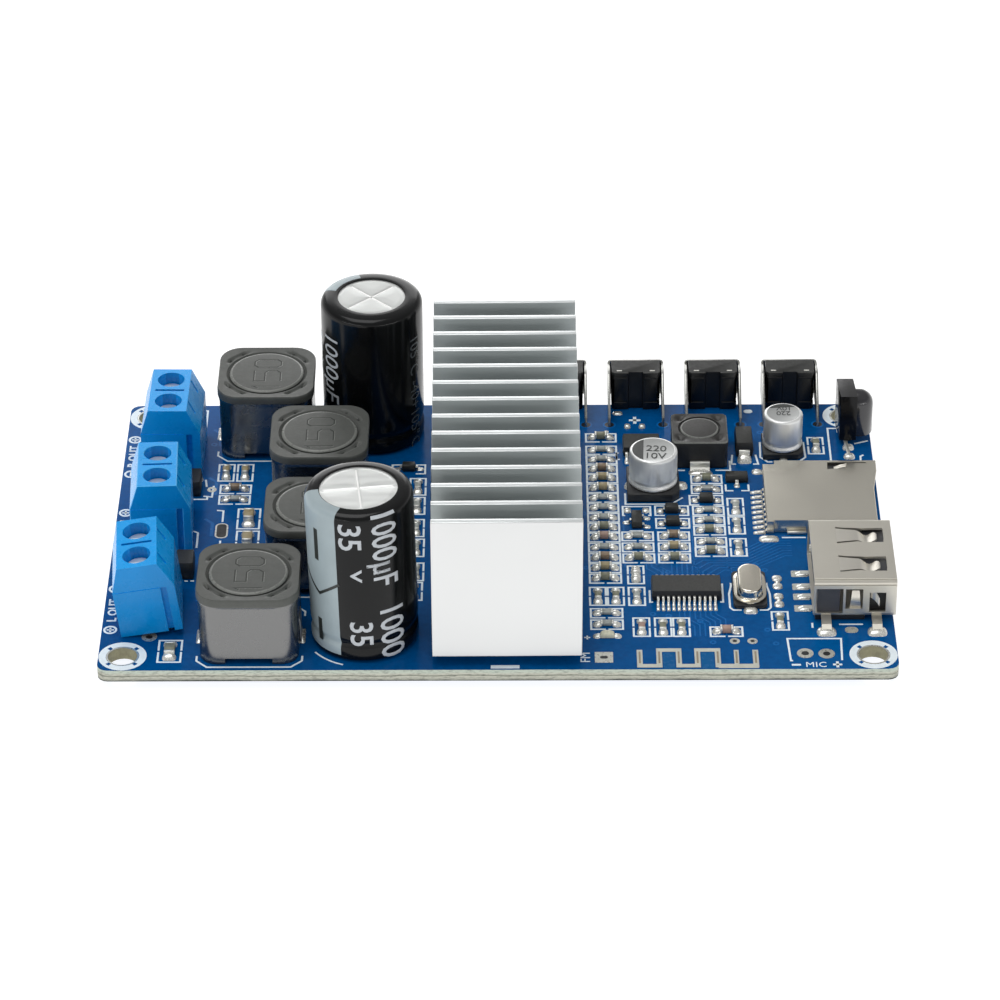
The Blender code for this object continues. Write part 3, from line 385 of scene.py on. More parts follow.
def rrect(w, d, r, n=3, cx=0.0, cy=0.0, rot=0.0):
    r = min(r, w / 2 - 1e-4, d / 2 - 1e-4)
    pts = []
    for k, (sx, sy) in enumerate(((1, 1), (-1, 1), (-1, -1), (1, -1))):
        for i in range(n + 1):
            a = math.radians(90 * k + 90 * i / n)
            pts.append((sx * (w / 2 - r) + r * math.cos(a), sy * (d / 2 - r) + r * math.sin(a)))
    c, s = math.cos(math.radians(rot)), math.sin(math.radians(rot))
    return [(cx + c * x - s * y, cy + s * x + c * y) for x, y in pts]


def flat(bm, outline, z0, z1, mi=0):
    """A thin plate of an outline."""
    lo = [bm.verts.new((x, y, z0)) for x, y in outline]
    hi = [bm.verts.new((x, y, z1)) for x, y in outline]
    n = len(outline)
    bm.faces.new(lo[::-1]).material_index = mi
    bm.faces.new(hi).material_index = mi
    for i in range(n):
        bm.faces.new((lo[i], lo[(i + 1) % n], hi[(i + 1) % n], hi[i])).material_index = mi


def turned(bm, profile, n, cx=0.0, cy=0.0, mats=None, mi=0, cap0=True, cap1=True):
    return loft(bm, [[(x, y, z) for x, y in circle(r, n, cx, cy)] for r, z in profile], mi, cap0, cap1, mats)


def stroke(bm, pts, w, z0=0.0, z1=0.03, closed=False, mi=0):
    """A ribbon of width w along points, mitred at its corners."""
    n = len(pts)
    left, right = [], []
    for i in range(n):
        p = Vector(pts[i])
        a = Vector(pts[i - 1]) if (i > 0 or closed) else None
        b = Vector(pts[(i + 1) % n]) if (i < n - 1 or closed) else None
        d1 = (p - a).normalized() if a is not None else None
        d2 = (b - p).normalized() if b is not None else None
        d1 = d1 or d2
        d2 = d2 or d1
        t = d1 + d2
        t = t.normalized() if t.length > 1e-6 else d1
        nrm = Vector((-t.y, t.x))
        k = 1.0 / max(0.35, nrm.dot(Vector((-d1.y, d1.x))))
        left.append(p + nrm * (w / 2 * k))
        right.append(p - nrm * (w / 2 * k))
    rows = [[bm.verts.new((l.x, l.y, z1)), bm.verts.new((r.x, r.y, z1)), bm.verts.new((r.x, r.y, z0)), bm.verts.new((l.x, l.y, z0))] for l, r in zip(left, right)]
    count = n if closed else n - 1
    for i in range(count):
        a, b = rows[i], rows[(i + 1) % n]
        for k in range(4):
            bm.faces.new((a[k], b[k], b[(k + 1) % 4], a[(k + 1) % 4])).material_index = mi
    if not closed:
        bm.faces.new(rows[0]).material_index = mi
        bm.faces.new(rows[-1][::-1]).material_index = mi


def ring(bm, cx, cy, r0, r1, z0, z1, n=32, mi=0, a0=0.0, a1=360.0):
    full = abs(a1 - a0) >= 359.9
    k = n if full else n + 1
    rows = []
    for i in range(k):
        a = math.radians(a0 + (a1 - a0) * i / n)
        c, s = math.cos(a), math.sin(a)
        rows.append([bm.verts.new((cx + r * c, cy + r * s, z)) for r, z in ((r0, z0), (r1, z0), (r1, z1), (r0, z1))])
    for i in range(n):
        a, b = rows[i], rows[(i + 1) % k]
        for q in range(4):
            bm.faces.new((a[q], b[q], b[(q + 1) % 4], a[(q + 1) % 4])).material_index = mi
    if not full:
        bm.faces.new(rows[0]).material_index = mi
        bm.faces.new(rows[-1][::-1]).material_index = mi


def blob(bm, cx, cy, w, d, h, z=0.0, mi=0, rot=0.0, peak=(0.0, 0.0), top=0.35):
    """A smooth mound of solder on a pad."""
    levels = ((1.0, 0.0), (0.97, 0.18), (0.86, 0.5), (0.68, 0.8), (top, 1.0))
    rings = []
    for k, up in levels:
        rings.append([(x + peak[0] * up, y + peak[1] * up, z + h * up) for x, y in rrect(w * k, d * k, min(w, d) * k * 0.32, 2, cx, cy, rot)])
    loft(bm, rings, mi)


def words(text, size, spacing=1.0, bold=0.0):
    """Letters as a flat bmesh, centred, in millimetres."""
    cu = bpy.data.curves.new("letters", "FONT")
    cu.body = text
    cu.size = size
    cu.space_character = spacing
    cu.resolution_u = 3
    cu.offset = bold
    cu.align_x = "CENTER"
    cu.align_y = "CENTER"
    ob = bpy.data.objects.new("letters", cu)
    bpy.context.scene.collection.objects.link(ob)
    dg = bpy.context.evaluated_depsgraph_get()
    ev = ob.evaluated_get(dg)
    me = ev.to_mesh()
    bm = bmesh.new()
    bm.from_mesh(me)
    ev.to_mesh_clear()
    bpy.data.objects.remove(ob)
    bpy.data.curves.remove(cu)
    bmesh.ops.remove_doubles(bm, verts=bm.verts, dist=1e-5)
    if bm.verts:
        xs = [v.co.x for v in bm.verts]
        ys = [v.co.y for v in bm.verts]
        bmesh.ops.translate(bm, vec=(-(min(xs) + max(xs)) / 2, -(min(ys) + max(ys)) / 2, 0), verts=bm.verts)
    return bm


def thick_words(dst, text, size, cx, cy, rot, z0, z1, mi=0, spacing=1.0, squeeze=1.0, bold=0.0, warp=None, slices=None):
    """Letters as thin solids, added to dst; warp moves each point afterwards."""
    bm = words(text, size, spacing, bold)
    if squeeze != 1.0:
        bmesh.ops.scale(bm, vec=(squeeze, 1, 1), verts=bm.verts)
    if slices:
        for axis in (0, 1):
            vals = [v.co[axis] for v in bm.verts]
            lo, hi = min(vals), max(vals)
            p = lo + slices
            while p < hi:
                co = Vector((0, 0, 0)); co[axis] = p
                no = Vector((0, 0, 0)); no[axis] = 1
                bmesh.ops.bisect_plane(bm, geom=bm.verts[:] + bm.edges[:] + bm.faces[:], plane_co=co, plane_no=no)
                p += slices
    ext = bmesh.ops.extrude_face_region(bm, geom=bm.faces[:], use_keep_orig=True)
    up = [g for g in ext["geom"] if isinstance(g, bmesh.types.BMVert)]
    bmesh.ops.translate(bm, vec=(0, 0, z1 - z0), verts=up)
    bmesh.ops.translate(bm, vec=(0, 0, z0), verts=bm.verts)
    bmesh.ops.rotate(bm, cent=(0, 0, 0), matrix=Matrix.Rotation(math.radians(rot), 3, "Z"), verts=bm.verts)
    bmesh.ops.translate(bm, vec=(cx, cy, 0), verts=bm.verts)
    if warp:
        for v in bm.verts:
            v.co = warp(v.co)
    for f in bm.faces:
        f.material_index = mi
    me = bpy.data.meshes.new("tmp")
    bm.to_mesh(me)
    bm.free()
    before = len(dst.faces)
    dst.from_mesh(me)
    bpy.data.meshes.remove(me)
    dst.faces.ensure_lookup_table()
    for f in dst.faces[before:]:
        f.material_index = mi


def carve(ob, cutter_bm, smooth=None, lift=TOP):
    """Cuts a shape out of a finished piece."""
    bmesh.ops.translate(cutter_bm, vec=(0, 0, lift), verts=cutter_bm.verts)
    bmesh.ops.scale(cutter_bm, vec=(MM, MM, MM), verts=cutter_bm.verts)
    bmesh.ops.recalc_face_normals(cutter_bm, faces=cutter_bm.faces)
    me = bpy.data.meshes.new("cutter")
    cutter_bm.to_mesh(me)
    cutter_bm.free()
    cu = bpy.data.objects.new("cutter", me)
    bpy.context.scene.collection.objects.link(cu)
    m = ob.modifiers.new("cut", "BOOLEAN")
    m.operation = "DIFFERENCE"
    m.solver = "EXACT"
    m.object = cu
    dg = bpy.context.evaluated_depsgraph_get()
    new = bpy.data.meshes.new_from_object(ob.evaluated_get(dg))
    if smooth:
        new.shade_smooth()
        new.set_sharp_from_angle(angle=math.radians(smooth))
    else:
        new.shade_flat()
    old = ob.data
    ob.modifiers.clear()
    ob.data = new
    bpy.data.meshes.remove(old)
    bpy.data.objects.remove(cu)
    bpy.data.meshes.remove(me)
    return ob


# ================================================================ camera, light, floor
def camera():
    pitch, yaw, roll = math.radians(33.268), math.radians(-0.232), math.radians(-0.279)
    dist, tx, ty, focal = 555.353, 0.203, 7.17, 4376.93
    f = Vector((math.sin(yaw) * math.cos(pitch), math.cos(yaw) * math.cos(pitch), -math.sin(pitch)))
    r = Vector((math.cos(yaw), -math.sin(yaw), 0))
    u = r.cross(f)
    r2 = r * math.cos(roll) + u * math.sin(roll)
    u2 = -r * math.sin(roll) + u * math.cos(roll)
    c = (Vector((tx, ty, TOP)) - f * dist) * MM
    cam = bpy.data.cameras.new("camera")
    cam.lens = focal * 36.0 / 1000.0
    cam.sensor_width = 36.0
    cam.clip_start = 0.01
    cam.clip_end = 20.0
    ob = bpy.data.objects.new("camera", cam)
    bpy.context.scene.collection.objects.link(ob)
    ob.matrix_world = Matrix(((r2.x, u2.x, -f.x, c.x), (r2.y, u2.y, -f.y, c.y), (r2.z, u2.z, -f.z, c.z), (0, 0, 0, 1)))
    bpy.context.scene.camera = ob


def softbox(name, at, aim, w, h, power, colour=(1, 1, 1)):
    li = bpy.data.lights.new(name, "AREA")
    li.shape = "RECTANGLE"
    li.size, li.size_y = w, h
    li.energy = power
    li.color = colour
    ob = bpy.data.objects.new(name, li)
    bpy.context.scene.collection.objects.link(ob)
    ob.location = at
    d = Vector(aim) - Vector(at)
    ob.rotation_euler = d.to_track_quat("-Z", "Y").to_euler()
    return ob


def studio():
    w = bpy.data.worlds.new("studio")
    w.use_nodes = True
    ns, ls = w.node_tree.nodes, w.node_tree.links
    bg = ns["Background"]
    tc = ns.new("ShaderNodeTexCoord")
    sep = ns.new("ShaderNodeSeparateXYZ")
    ls.new(tc.outputs["Generated"], sep.inputs["Vector"])
    r = ns.new("ShaderNodeValToRGB")
    e = r.color_ramp.elements
    e.new(0.5); e.new(0.7); e.new(0.8)
    for k, (pos, v) in enumerate(((0.0, 0.95), (0.20, 0.80), (0.42, 0.42), (0.56, 0.38), (1.0, 0.52))):
        e[k].position = pos
        e[k].color = (v, v, v, 1)
    ls.new(sep.outputs["Z"], r.inputs["Fac"])
    ls.new(r.outputs["Color"], bg.inputs["Color"])
    bg.inputs["Strength"].default_value = 1.0
    bpy.context.scene.world = w
    softbox("key_over", (-0.12, 0.02, 0.55), (0, 0, 0), 0.45, 0.36, 1.35)
    softbox("back_card", (-0.022, 0.185, 0.060), (-0.022, 0, 0.06), 0.125, 0.12, 0.085)
    softbox("front_fill", (0.06, -0.36, 0.56), (0, 0, 0.01), 0.55, 0.28, 0.22).visible_glossy = False
    softbox("glint_left", (-0.40, -0.42, 0.15), (0, 0, 0.02), 0.50, 0.018, 0.28)
    softbox("glint_right", (0.36, -0.44, 0.15), (0, 0, 0.02), 0.42, 0.018, 0.24)
    m, ns, ls, p = _new("studio_floor")
    n = _noise(ns, ls, 0.002, 2.0)
    ls.new(_ramp(ns, ls, n, [(0.3, (0.33, 0.33, 0.325)), (0.7, (0.35, 0.35, 0.345))]), p.inputs["Base Color"])
    p.inputs["Emission Color"].default_value = (1, 1, 1, 1)
    p.inputs["Emission Strength"].default_value = 0.90
    p.inputs["Roughness"].default_value = 0.9
    p.inputs["Specular IOR Level"].default_value = 0.1
    me = bpy.data.meshes.new("floor")
    s = 3.0
    me.from_pydata([(-s, -s, FLOOR_Z * MM), (s, -s, FLOOR_Z * MM), (s, s, FLOOR_Z * MM), (-s, s, FLOOR_Z * MM)], [], [(0, 1, 2, 3)])
    fl = bpy.data.objects.new("floor", me)
    me.materials.append(m)
    bpy.context.scene.collection.objects.link(fl)
    bpy.context.scene.view_settings.view_transform = "Standard"


camera()
studio()

# ================================================================ board
HOLES = [(sx * 45.2, sy * 26.95) for sx in (-1, 1) for sy in (-1, 1)]


def board():
    def paint(c, n):
        if abs(n.z) > 0.5:
            return 0
        for hx, hy in HOLES:
            if math.hypot(c.x - hx, c.y - hy) < 2.2:
                return 2
        if abs(c.x) > 47.2 or abs(c.y) > 28.7:
            return 1
        return 3
    bm = node_bm("circuit_board")
    bm.normal_update()
    for f in bm.faces:
        f.material_index = paint(f.calc_center_median(), f.normal)
    build(bm, "board_panel", [M["mask"], M["edge"], M["hole"], M["tin"]], replaces=("circuit_board",))


board()

# painted shade: the amplifier chip under the heatsink is all in the darker moulding copy
for k in ("amplifier_chip",):
    remade(k, M["chip_dark"], bevel=0.05)
remade("thermal_pad", M["pad"], bevel=0.05)

silk = bmesh.new()
# dark discs and ovals in the open holes: painted shade
dark = bmesh.new()
tin = bmesh.new()
sold = bmesh.new()
copper = bmesh.new()
SW = 0.245      # width of a printed line

# mounting rings, each with four gaps
for hx, hy in HOLES:
    ring(silk, hx, hy, 2.50, 2.90, 0.0, 0.03, 48)
    for k in range(4):
        ring(silk, hx, hy, 2.02, 2.505, 0.0, 0.03, 14, 0, 45 + 90 * k + 6.5, 135 + 90 * k - 6.5)
    ring(tin, hx, hy, 1.79, 2.0, 0.0, 0.025, 40)


# ---------------------------------------------------------------- chip parts
CHIPS = []      # x, y, turned, kind
for y, kind in ((21.76, "olive"), (18.78, "res"), (16.49, "res"), (14.23, "brown"), (12.05, "tan"), (9.77, "tan"), (7.54, "res"), (5.26, "res"),
                (2.99, "res"), (0.73, "olive"), (-1.49, "pink"), (-3.77, "res"), (-6.07, "brown"), (-8.32, "tan"), (-10.62, "olive")):
    CHIPS.append((13.25, y, 0, kind))
CHIPS += [(12.25, -14.47, 1, "cap_small"), (14.45, -14.47, 1, "cap_small"), (13.25, -18.11, 0, "res"), (13.25, -20.54, 0, "res")]
CHIPS += [(17.45, -1.25, 0, "res"), (17.45, -3.72, 0, "res"), (17.48, -6.17, 0, "olive"), (17.02, -9.81, 1, "solder"), (17.03, -14.49, 1, "res")]
CHIPS += [(21.97, -1.27, 0, "brown"), (21.97, -3.74, 0, "tan"), (21.93, -6.19, 0, "olive")]
CHIPS += [(26.56, 11.82, 0, "tan_dark"), (26.53, 9.48, 0, "res"), (26.53, 4.56, 0, "res"), (26.53, 2.28, 0, "res"),
          (26.52, 0.0, 0, "olive"), (26.57, -2.54, 0, "res"), (26.54, -4.77, 0, "olive")]
CHIPS += [(30.0, 5.42, 1, "res"), (29.97, 1.19, 1, "res"), (29.98, -3.77, 1, "res")]
CHIPS += [(17.44, -21.09, 1, "pink_small"), (20.06, -21.11, 1, "cap_small"), (22.29, -21.12, 1, "cap_small"), (27.71, -22.10, 0, "pink"), (34.35, -19.83, 1, "cap_small")]
CHIPS += [(40.97, 19.75, 1, "olive")]
CHIPS += [(-34.85, 13.65, 1, "tan"), (-32.44, 13.64, 1, "tan"), (-33.47, 9.77, 0, "brown"), (-33.50, 7.33, 0, "res"),
          (-31.47, 2.96, 1, "tan_big"), (-31.42, -2.1, 1, "tan_big"), (-39.57, -25.93, 1, "olive_big")]
CHIPS += [(-10.25, 10.25, 1, "res"), (-10.31, 5.84, 1, "res"), (-10.34, 0.76, 1, "res"), (-10.27, -3.69, 1, "res"), (-10.24, -9.02, 1, "res"), (-10.35, -13.29, 1, "res")]

chip_mats = [M["resistor"], M["ceramic_tan"], M["ceramic_brown"], M["ceramic_pink"], M["ceramic_olive"], M["lead"], M["silk"]]
chips = bmesh.new()


def chip_part(x, y, turned90, kind):
    size = {"tan_big": (2.0, 1.25, 0.95), "olive_big": (2.0, 1.25, 0.7)}.get(kind, (1.6, 0.8, 0.45 if kind in ("res", "cap_small", "pink_small") else 0.75))
    L, W, H = size
    mi = {"res": 0, "tan": 1, "tan_dark": 4, "brown": 2, "pink": 3, "olive": 4, "cap_small": 4, "pink_small": 3, "tan_big": 1, "olive_big": 4}.get(kind, 0)
    big = kind.endswith("_big")
    fw, fd = (4.5, 2.75) if big else (3.86, 1.95)
    if kind == "cap_small":
        mi = 4
    sx = rnd.uniform(-0.05, 0.05)
    sy = rnd.uniform(-0.04, 0.04)

    def tr(px, py):
        return (x - py, y + px) if turned90 else (x + px, y + py)

    def tbox(bm, x0, x1, y0, y1, z0, z1, m):
        a, b = tr(x0, y0), tr(x1, y1)
        box(bm, (min(a[0], b[0]), max(a[0], b[0])), (min(a[1], b[1]), max(a[1], b[1])), (z0, z1), m)

    # printed frame in two halves
    g = 0.16
    hw, hd = fw / 2, fd / 2
    for s in (-1, 1):
        stroke(silk, [tr(s * g, -hd), tr(s * hw, -hd), tr(s * hw, hd), tr(s * g, hd)], SW, 0, 0.03)
    # pads and solder
    for s in (-1, 1):
        px, py = tr(s * (1.18 if not big else 1.35), 0)
        w, d = (1.15, 1.2) if not big else (1.2, 1.7)
        if turned90:
            w, d = d, w
        h = (0.34 if H < 0.5 else 0.5) * rnd.uniform(0.9, 1.1)
        inward = -s * 0.22
        pk = (0, inward) if turned90 else (inward, 0)
        blob(sold, px, py, w, d, h, 0.0, 0, 0, pk)
    if kind == "solder":
        for s in (-1, 1):
            px, py = tr(s * 0.55, 0)
            blob(sold, px, py, 1.3, 1.3, 0.55, 0.0, 0, 0)
        return
    # body with plated ends
    tbox(chips, -L / 2 + 0.28 + sx, L / 2 - 0.28 + sx, -W / 2 + sy, W / 2 + sy, 0.05, 0.05 + H, mi)
    for s in (-1, 1):
        a, b = s * (L / 2 - 0.281) + sx, s * L / 2 + sx
        tbox(chips, min(a, b), max(a, b), -W / 2 - 0.015 + sy, W / 2 + 0.015 + sy, 0.03, 0.07 + H, 5)


for c in CHIPS:
    chip_part(*c)
bmesh.ops.recalc_face_normals(chips, faces=chips.faces)
build(chips, "chip_parts", chip_mats, bevel=0.05, bevel_seg=1, smooth=50)

# ---------------------------------------------------------------- small black parts
small = bmesh.new()


def sot(x, y, w, d, h, legs, mi=0, leg_w=0.42):
    """A small moulded part with folded leads: legs are (x, y, dx, dy) from its centre."""
    rings = [rrect(w - 0.1, d - 0.1, 0.08, 1, x, y), rrect(w, d, 0.08, 1, x, y), rrect(w - 0.16, d - 0.16, 0.08, 1, x, y)]
    loft(small, [[(a, b, z) for a, b in r] for r, z in zip(rings, (0.08, h * 0.45, h))], mi)
    for lx, ly, dx, dy in legs:
        px, py = x + lx, y + ly
        n = Vector((dx, dy)).normalized()
        t = Vector((-n.y, n.x)) * leg_w / 2
        path = [(0.0, h * 0.45), (0.22, h * 0.45), (0.34, 0.14), (0.62, 0.12)]
        prof = [[(px + n.x * s + t.x * k, py + n.y * s + t.y * k, z + e) for k, e in ((-1, 0), (1, 0), (1, 0.1), (-1, 0.1))] for s, z in path]
        loft(small, prof, 2)
        blob(sold, px + n.x * 0.6, py + n.y * 0.6, 0.75 if abs(n.y) > 0.5 else 0.95, 0.95 if abs(n.y) > 0.5 else 0.75, 0.16)


# transistors, signal diodes
sot(17.41, 1.85, 1.35, 2.9, 1.05, [(0.68, 0.95, 1, 0), (0.68, -0.95, 1, 0), (-0.68, 0.0, -1, 0)])
sot(30.4, 11.6, 2.9, 1.4, 1.05, [(0.0, -0.7, 0, -1), (-0.95, 0.7, 0, 1), (0.95, 0.7, 0, 1)])
for x, y in ((21.9, 4.45), (21.94, 1.55), (26.34, 6.85)):
    sot(x, y, 1.75, 1.25, 1.0, [(0.87, 0, 1, 0), (-0.87, 0, -1, 0)], leg_w=0.5)
sot(-11.5, 14.36, 1.75, 1.25, 0.9, [(0.87, 0, 1, 0), (-0.87, 0, -1, 0)], leg_w=0.5)
# two power diodes between the terminals and the inductors
for x, y, w, d, h in ((-38.5, 9.75, 1.5, 3.5, 2.2), (-38.7, -9.05, 2.35, 3.3, 2.45)):
    rings = [rrect(w - 0.2, d - 0.2, 0.12, 1, x, y), rrect(w, d, 0.12, 1, x, y), rrect(w - 0.24, d - 0.24, 0.12, 1, x, y)]
    loft(small, [[(a, b, z) for a, b in r] for r, z in zip(rings, (0.1, h * 0.5, h))], 0)
    for s in (-1, 1):
        if s > 0:
            box(small, (x - 0.65, x + 0.65), (y + d / 2 - 0.05, y + d / 2 + 0.35), (0.05, h * 0.5), 2)
            blob(sold, x, y + d / 2 + 0.55, 1.6, 1.1, 0.35)
flat(tin, rrect(1.62, 3.35, 0.7, 5, -34.76, 0.25), 0.0, 0.03)
# painted shade: a dark oval inside this pad
flat(dark, rrect(1.22, 2.95, 0.5, 5, -34.76, 0.25), 0.0, 0.045)
build(small, "small_moulded_parts", [M["chip"], M["chip_dark"], M["lead"]], bevel=0.03, bevel_seg=1, smooth=40)

for x, y in ((21.9, 4.58), (21.94, 1.69), (26.34, 6.96)):
    for s in (-1, 1):
        stroke(silk, [(x + s * 0.9, y - 1.08), (x + s * 2.08, y - 1.08), (x + s * 2.08, y + 1.08), (x + s * 0.9, y + 1.08)], SW)
        blob(sold, x + s * 1.42, y - 0.1, 0.95, 1.1, 0.3)
stroke(silk, [(16.0, 3.5), (15.72, 3.5), (15.72, 5.55), (19.2, 5.55), (19.2, 3.5), (18.9, 3.5)], SW)
for s in (-1, 1):
    blob(sold, 17.47 + s * 1.15, 4.6, 0.95, 1.1, 0.3)
stroke(silk, [(16.6, -0.05), (16.6, 0.0), (18.2, 0.0)], SW)
stroke(silk, [(28.95, 10.6), (28.95, 9.15), (29.9, 9.15)], SW)
stroke(silk, [(31.85, 10.6), (31.85, 9.15), (30.9, 9.15)], SW)
for s in (-1, 1):
    stroke(silk, [(-11.5 + s * 0.9, 13.3), (-11.5 + s * 2.1, 13.3), (-11.5 + s * 2.1, 15.4), (-11.5 + s * 0.9, 15.4)], SW)

# ---------------------------------------------------------------- decoder chip
bm = node_bm("decoder_chip")
bm.normal_update()
# painted shade: all but the top faces get the darker moulding copy
for f in bm.faces:
    f.material_index = 0 if f.normal.z > 0.8 else 1
build(bm, "decoder_body", [M["chip"], M["chip_dark"]], replaces=("decoder_chip",), bevel=0.04, bevel_seg=1)
leads = bmesh.new()
DX, DY = 23.1, -13.75
for side in (-1, 1):
    for k in range(12):
        x = DX + (k - 5.5) * 0.6375
        y0 = DY + side * 1.82
        path = [(0.0, 0.72), (0.30, 0.72), (0.42, 0.66), (0.60, 0.20), (0.70, 0.12), (1.20, 0.10)]
        th = 0.13
        prof = []
        for s, z in path:
            y = y0 + side * s
            prof.append([(x - 0.15, y, z), (x + 0.15, y, z), (x + 0.15, y, z + th), (x - 0.15, y, z + th)])
        loft(leads, prof, 0)
        yc = y0 + side * 1.35
        flat(tin, rrect(0.42, 1.5, 0.05, 1, x, yc), 0, 0.03)
        blob(sold, x, y0 + side * 1.42, 0.38, 0.95, 0.16, 0.0, 0, 0, (0, -side * 0.2))
# regulator leads
RX, RY = 18.4, 18.9
for side in (-1, 1):
    for k in range(4):
        x = RX + (k - 1.5) * 1.27
        y0 = RY + side * 1.75
        prof = []
        for s, z in [(0.0, 0.7), (0.3, 0.7), (0.45, 0.6), (0.62, 0.18), (0.75, 0.1), (1.2, 0.1)]:
            prof.append([(x - 0.2, y0 + side * s, z), (x + 0.2, y0 + side * s, z), (x + 0.2, y0 + side * s, z + 0.16), (x - 0.2, y0 + side * s, z + 0.16)])
        loft(leads, prof, 0)
        blob(sold, x, y0 + side * 1.1, 0.6, 1.2, 0.2)
build(leads, "chip_leads", [M["lead"]], bevel=0.03, bevel_seg=1, smooth=50)
bm = node_bm("regulator_chip")
bm.normal_update()
# painted shade: all but the top faces get the darker moulding copy
for f in bm.faces:
    f.material_index = 0 if f.normal.z > 0.8 else 1
build(bm, "regulator_body", [M["chip"], M["chip_dark"]], replaces=("regulator_chip",), bevel=0.05, bevel_seg=1)
# outline and pin mark of the decoder
stroke(silk, [(19.0, -15.75), (18.62, -15.75), (18.62, -13.2)], SW)
stroke(silk, [(27.2, -15.75), (27.58, -15.75), (27.58, -11.9), (27.3, -11.9)], SW)
ring(silk, 26.9, -11.15, 0.0, 0.28, 0, 0.03, 12)

# ---------------------------------------------------------------- power diode, LED
bm = node_bm("power_diode")
bm.normal_update()
# painted shade: all but the top faces get the darker moulding copy
for f in bm.faces:
    f.material_index = 0 if f.normal.z > 0.8 else 1
build(bm, "power_diode_body", [M["chip"], M["chip_dark"]], replaces=("power_diode",), bevel=0.06, bevel_seg=2, smooth=40)
ends = bmesh.new()
for s in (-1, 1):
    y = 19.1 + s * 2.15
    prof = [[(31.62 - 0.7, y + s * a, z0), (31.62 + 0.7, y + s * a, z0), (31.62 + 0.7, y + s * a, z1), (31.62 - 0.7, y + s * a, z1)] for a, z0, z1 in ((-0.05, 0.1, 1.2), (0.18, 0.08, 1.15), (0.26, 0.05, 0.9), (0.3, 0.05, 0.25))]
    loft(ends, prof, 0)
    blob(sold, 31.62, y + s * 0.75, 1.9, 1.5, 0.85, 0.0, 0, 0, (0, -s * 0.35), 0.15)
build(ends, "power_diode_ends", [M["lead"]], bevel=0.04, bevel_seg=1, smooth=40)
stroke(silk, [(30.1, 17.6), (29.9, 15.4), (30.5, 15.4)], SW)
stroke(silk, [(33.1, 17.6), (33.35, 15.4), (32.7, 15.4)], SW)

bm = bmesh.new()
loft(bm, [[(a, b, z) for a, b in rrect(w, d, r, 4, 13.25, -22.95)] for w, d, r, z in ((1.7, 0.95, 0.1, 0.05), (1.7, 0.95, 0.15, 0.35), (1.45, 0.88, 0.3, 0.55), (1.0, 0.7, 0.3, 0.68), (0.5, 0.4, 0.18, 0.72))], 0)
build(bm, "led_lens", [M["led"]], replaces=("status_led",), smooth=50)
for s in (-1, 1):
    blob(sold, 13.25 + s * 1.25, -23.0, 1.0, 0.95, 0.28, 0, 0, 0, (-s * 0.2, 0))
stroke(silk, [(10.45, -23.25), (11.17, -23.25)], 0.2)
stroke(silk, [(10.81, -23.62), (10.81, -22.88)], 0.2)


# ---------------------------------------------------------------- SMD capacitors
def smd_cap(i, x, y, r, top, half, base_h, foot, seg_dir, lines, rot):
    bm = bmesh.new()
    prof = [(r - 0.2, foot), (r + 0.03, foot + 0.10), (r + 0.05, foot + 0.25), (r + 0.02, foot + 0.42), (r - 0.10, foot + 0.55), (r - 0.16, foot + 0.72),
            (r - 0.12, foot + 0.9), (r - 0.03, foot + 1.05), (r, foot + 1.2), (r, top - 0.35), (r - 0.04, top - 0.18), (r - 0.14, top - 0.06), (r - 0.3, top - 0.01), (r - 0.4, top - 0.01), (r - 0.5, top - 0.04), (0.3, top - 0.04)]
    turned(bm, prof, 72, x, y, mats=[0] * 13 + [1, 1])
    build(bm, f"smd_can_{i}_look", [M["smd_can"], M["smd_top"]], replaces=(f"smd_capacitor_can_{i}",), smooth=40)
    bm = bmesh.new()
    a0, half_a = seg_dir
    rr = r - 0.36
    pts = []
    for k in range(25):
        a = math.radians(a0 - half_a + 2 * half_a * k / 24)
        pts.append((x + rr * math.cos(a), y + rr * math.sin(a)))
    flat(bm, pts, top - 0.03, top - 0.005, 0)
    c, s = math.cos(math.radians(rot)), math.sin(math.radians(rot))
    for text, size, ox, oy in lines:
        thick_words(bm, text, size, x + c * ox - s * oy, y + s * ox + c * oy, rot, top - 0.03, top - 0.008, 0, spacing=0.95)
    build(bm, f"smd_can_{i}_print", [M["black_ink"]])
    remade(f"smd_capacitor_base_{i}", M["black"], bevel=0.12, seg=2)


smd_cap(1, 19.66, 9.8, 3.06, 5.85, 3.32, 1.25, 1.30, (178, 62), [("220", 1.85, 0.35, 0.35), ("10V", 1.85, 0.45, -1.35)], -4)
smd_cap(2, 36.60, 18.9, 2.51, 5.60, 2.62, 0.95, 1.00, (95, 52), [("220", 1.3, 0.0, 0.1), ("10V", 1.3, 0.0, -1.05)], 180)
for x, y, s in ((16.75, 10.2, -1), (23.35, 10.2, 1)):
    blob(sold, x, y, 1.5, 1.6, 0.55, 0, 0, 0, (-s * 0.1, 0))
for x, y in ((36.6, 15.9), (36.6, 21.9)):
    blob(sold, x, y, 1.2, 1.0, 0.4)
stroke(silk, [(16.1, 8.6), (16.1, 6.1), (21.9, 6.1), (23.4, 7.6)], SW)
stroke(silk, [(15.6, 16.6), (15.2, 16.6), (15.2, 18.1), (15.5, 18.1)], SW)
stroke(silk, [(33.8, 20.6), (33.7, 17.0), (34.6, 15.9), (35.2, 15.9)], SW)
stroke(silk, [(39.4, 20.6), (39.5, 17.0), (38.6, 15.9), (38.0, 15.9)], SW)


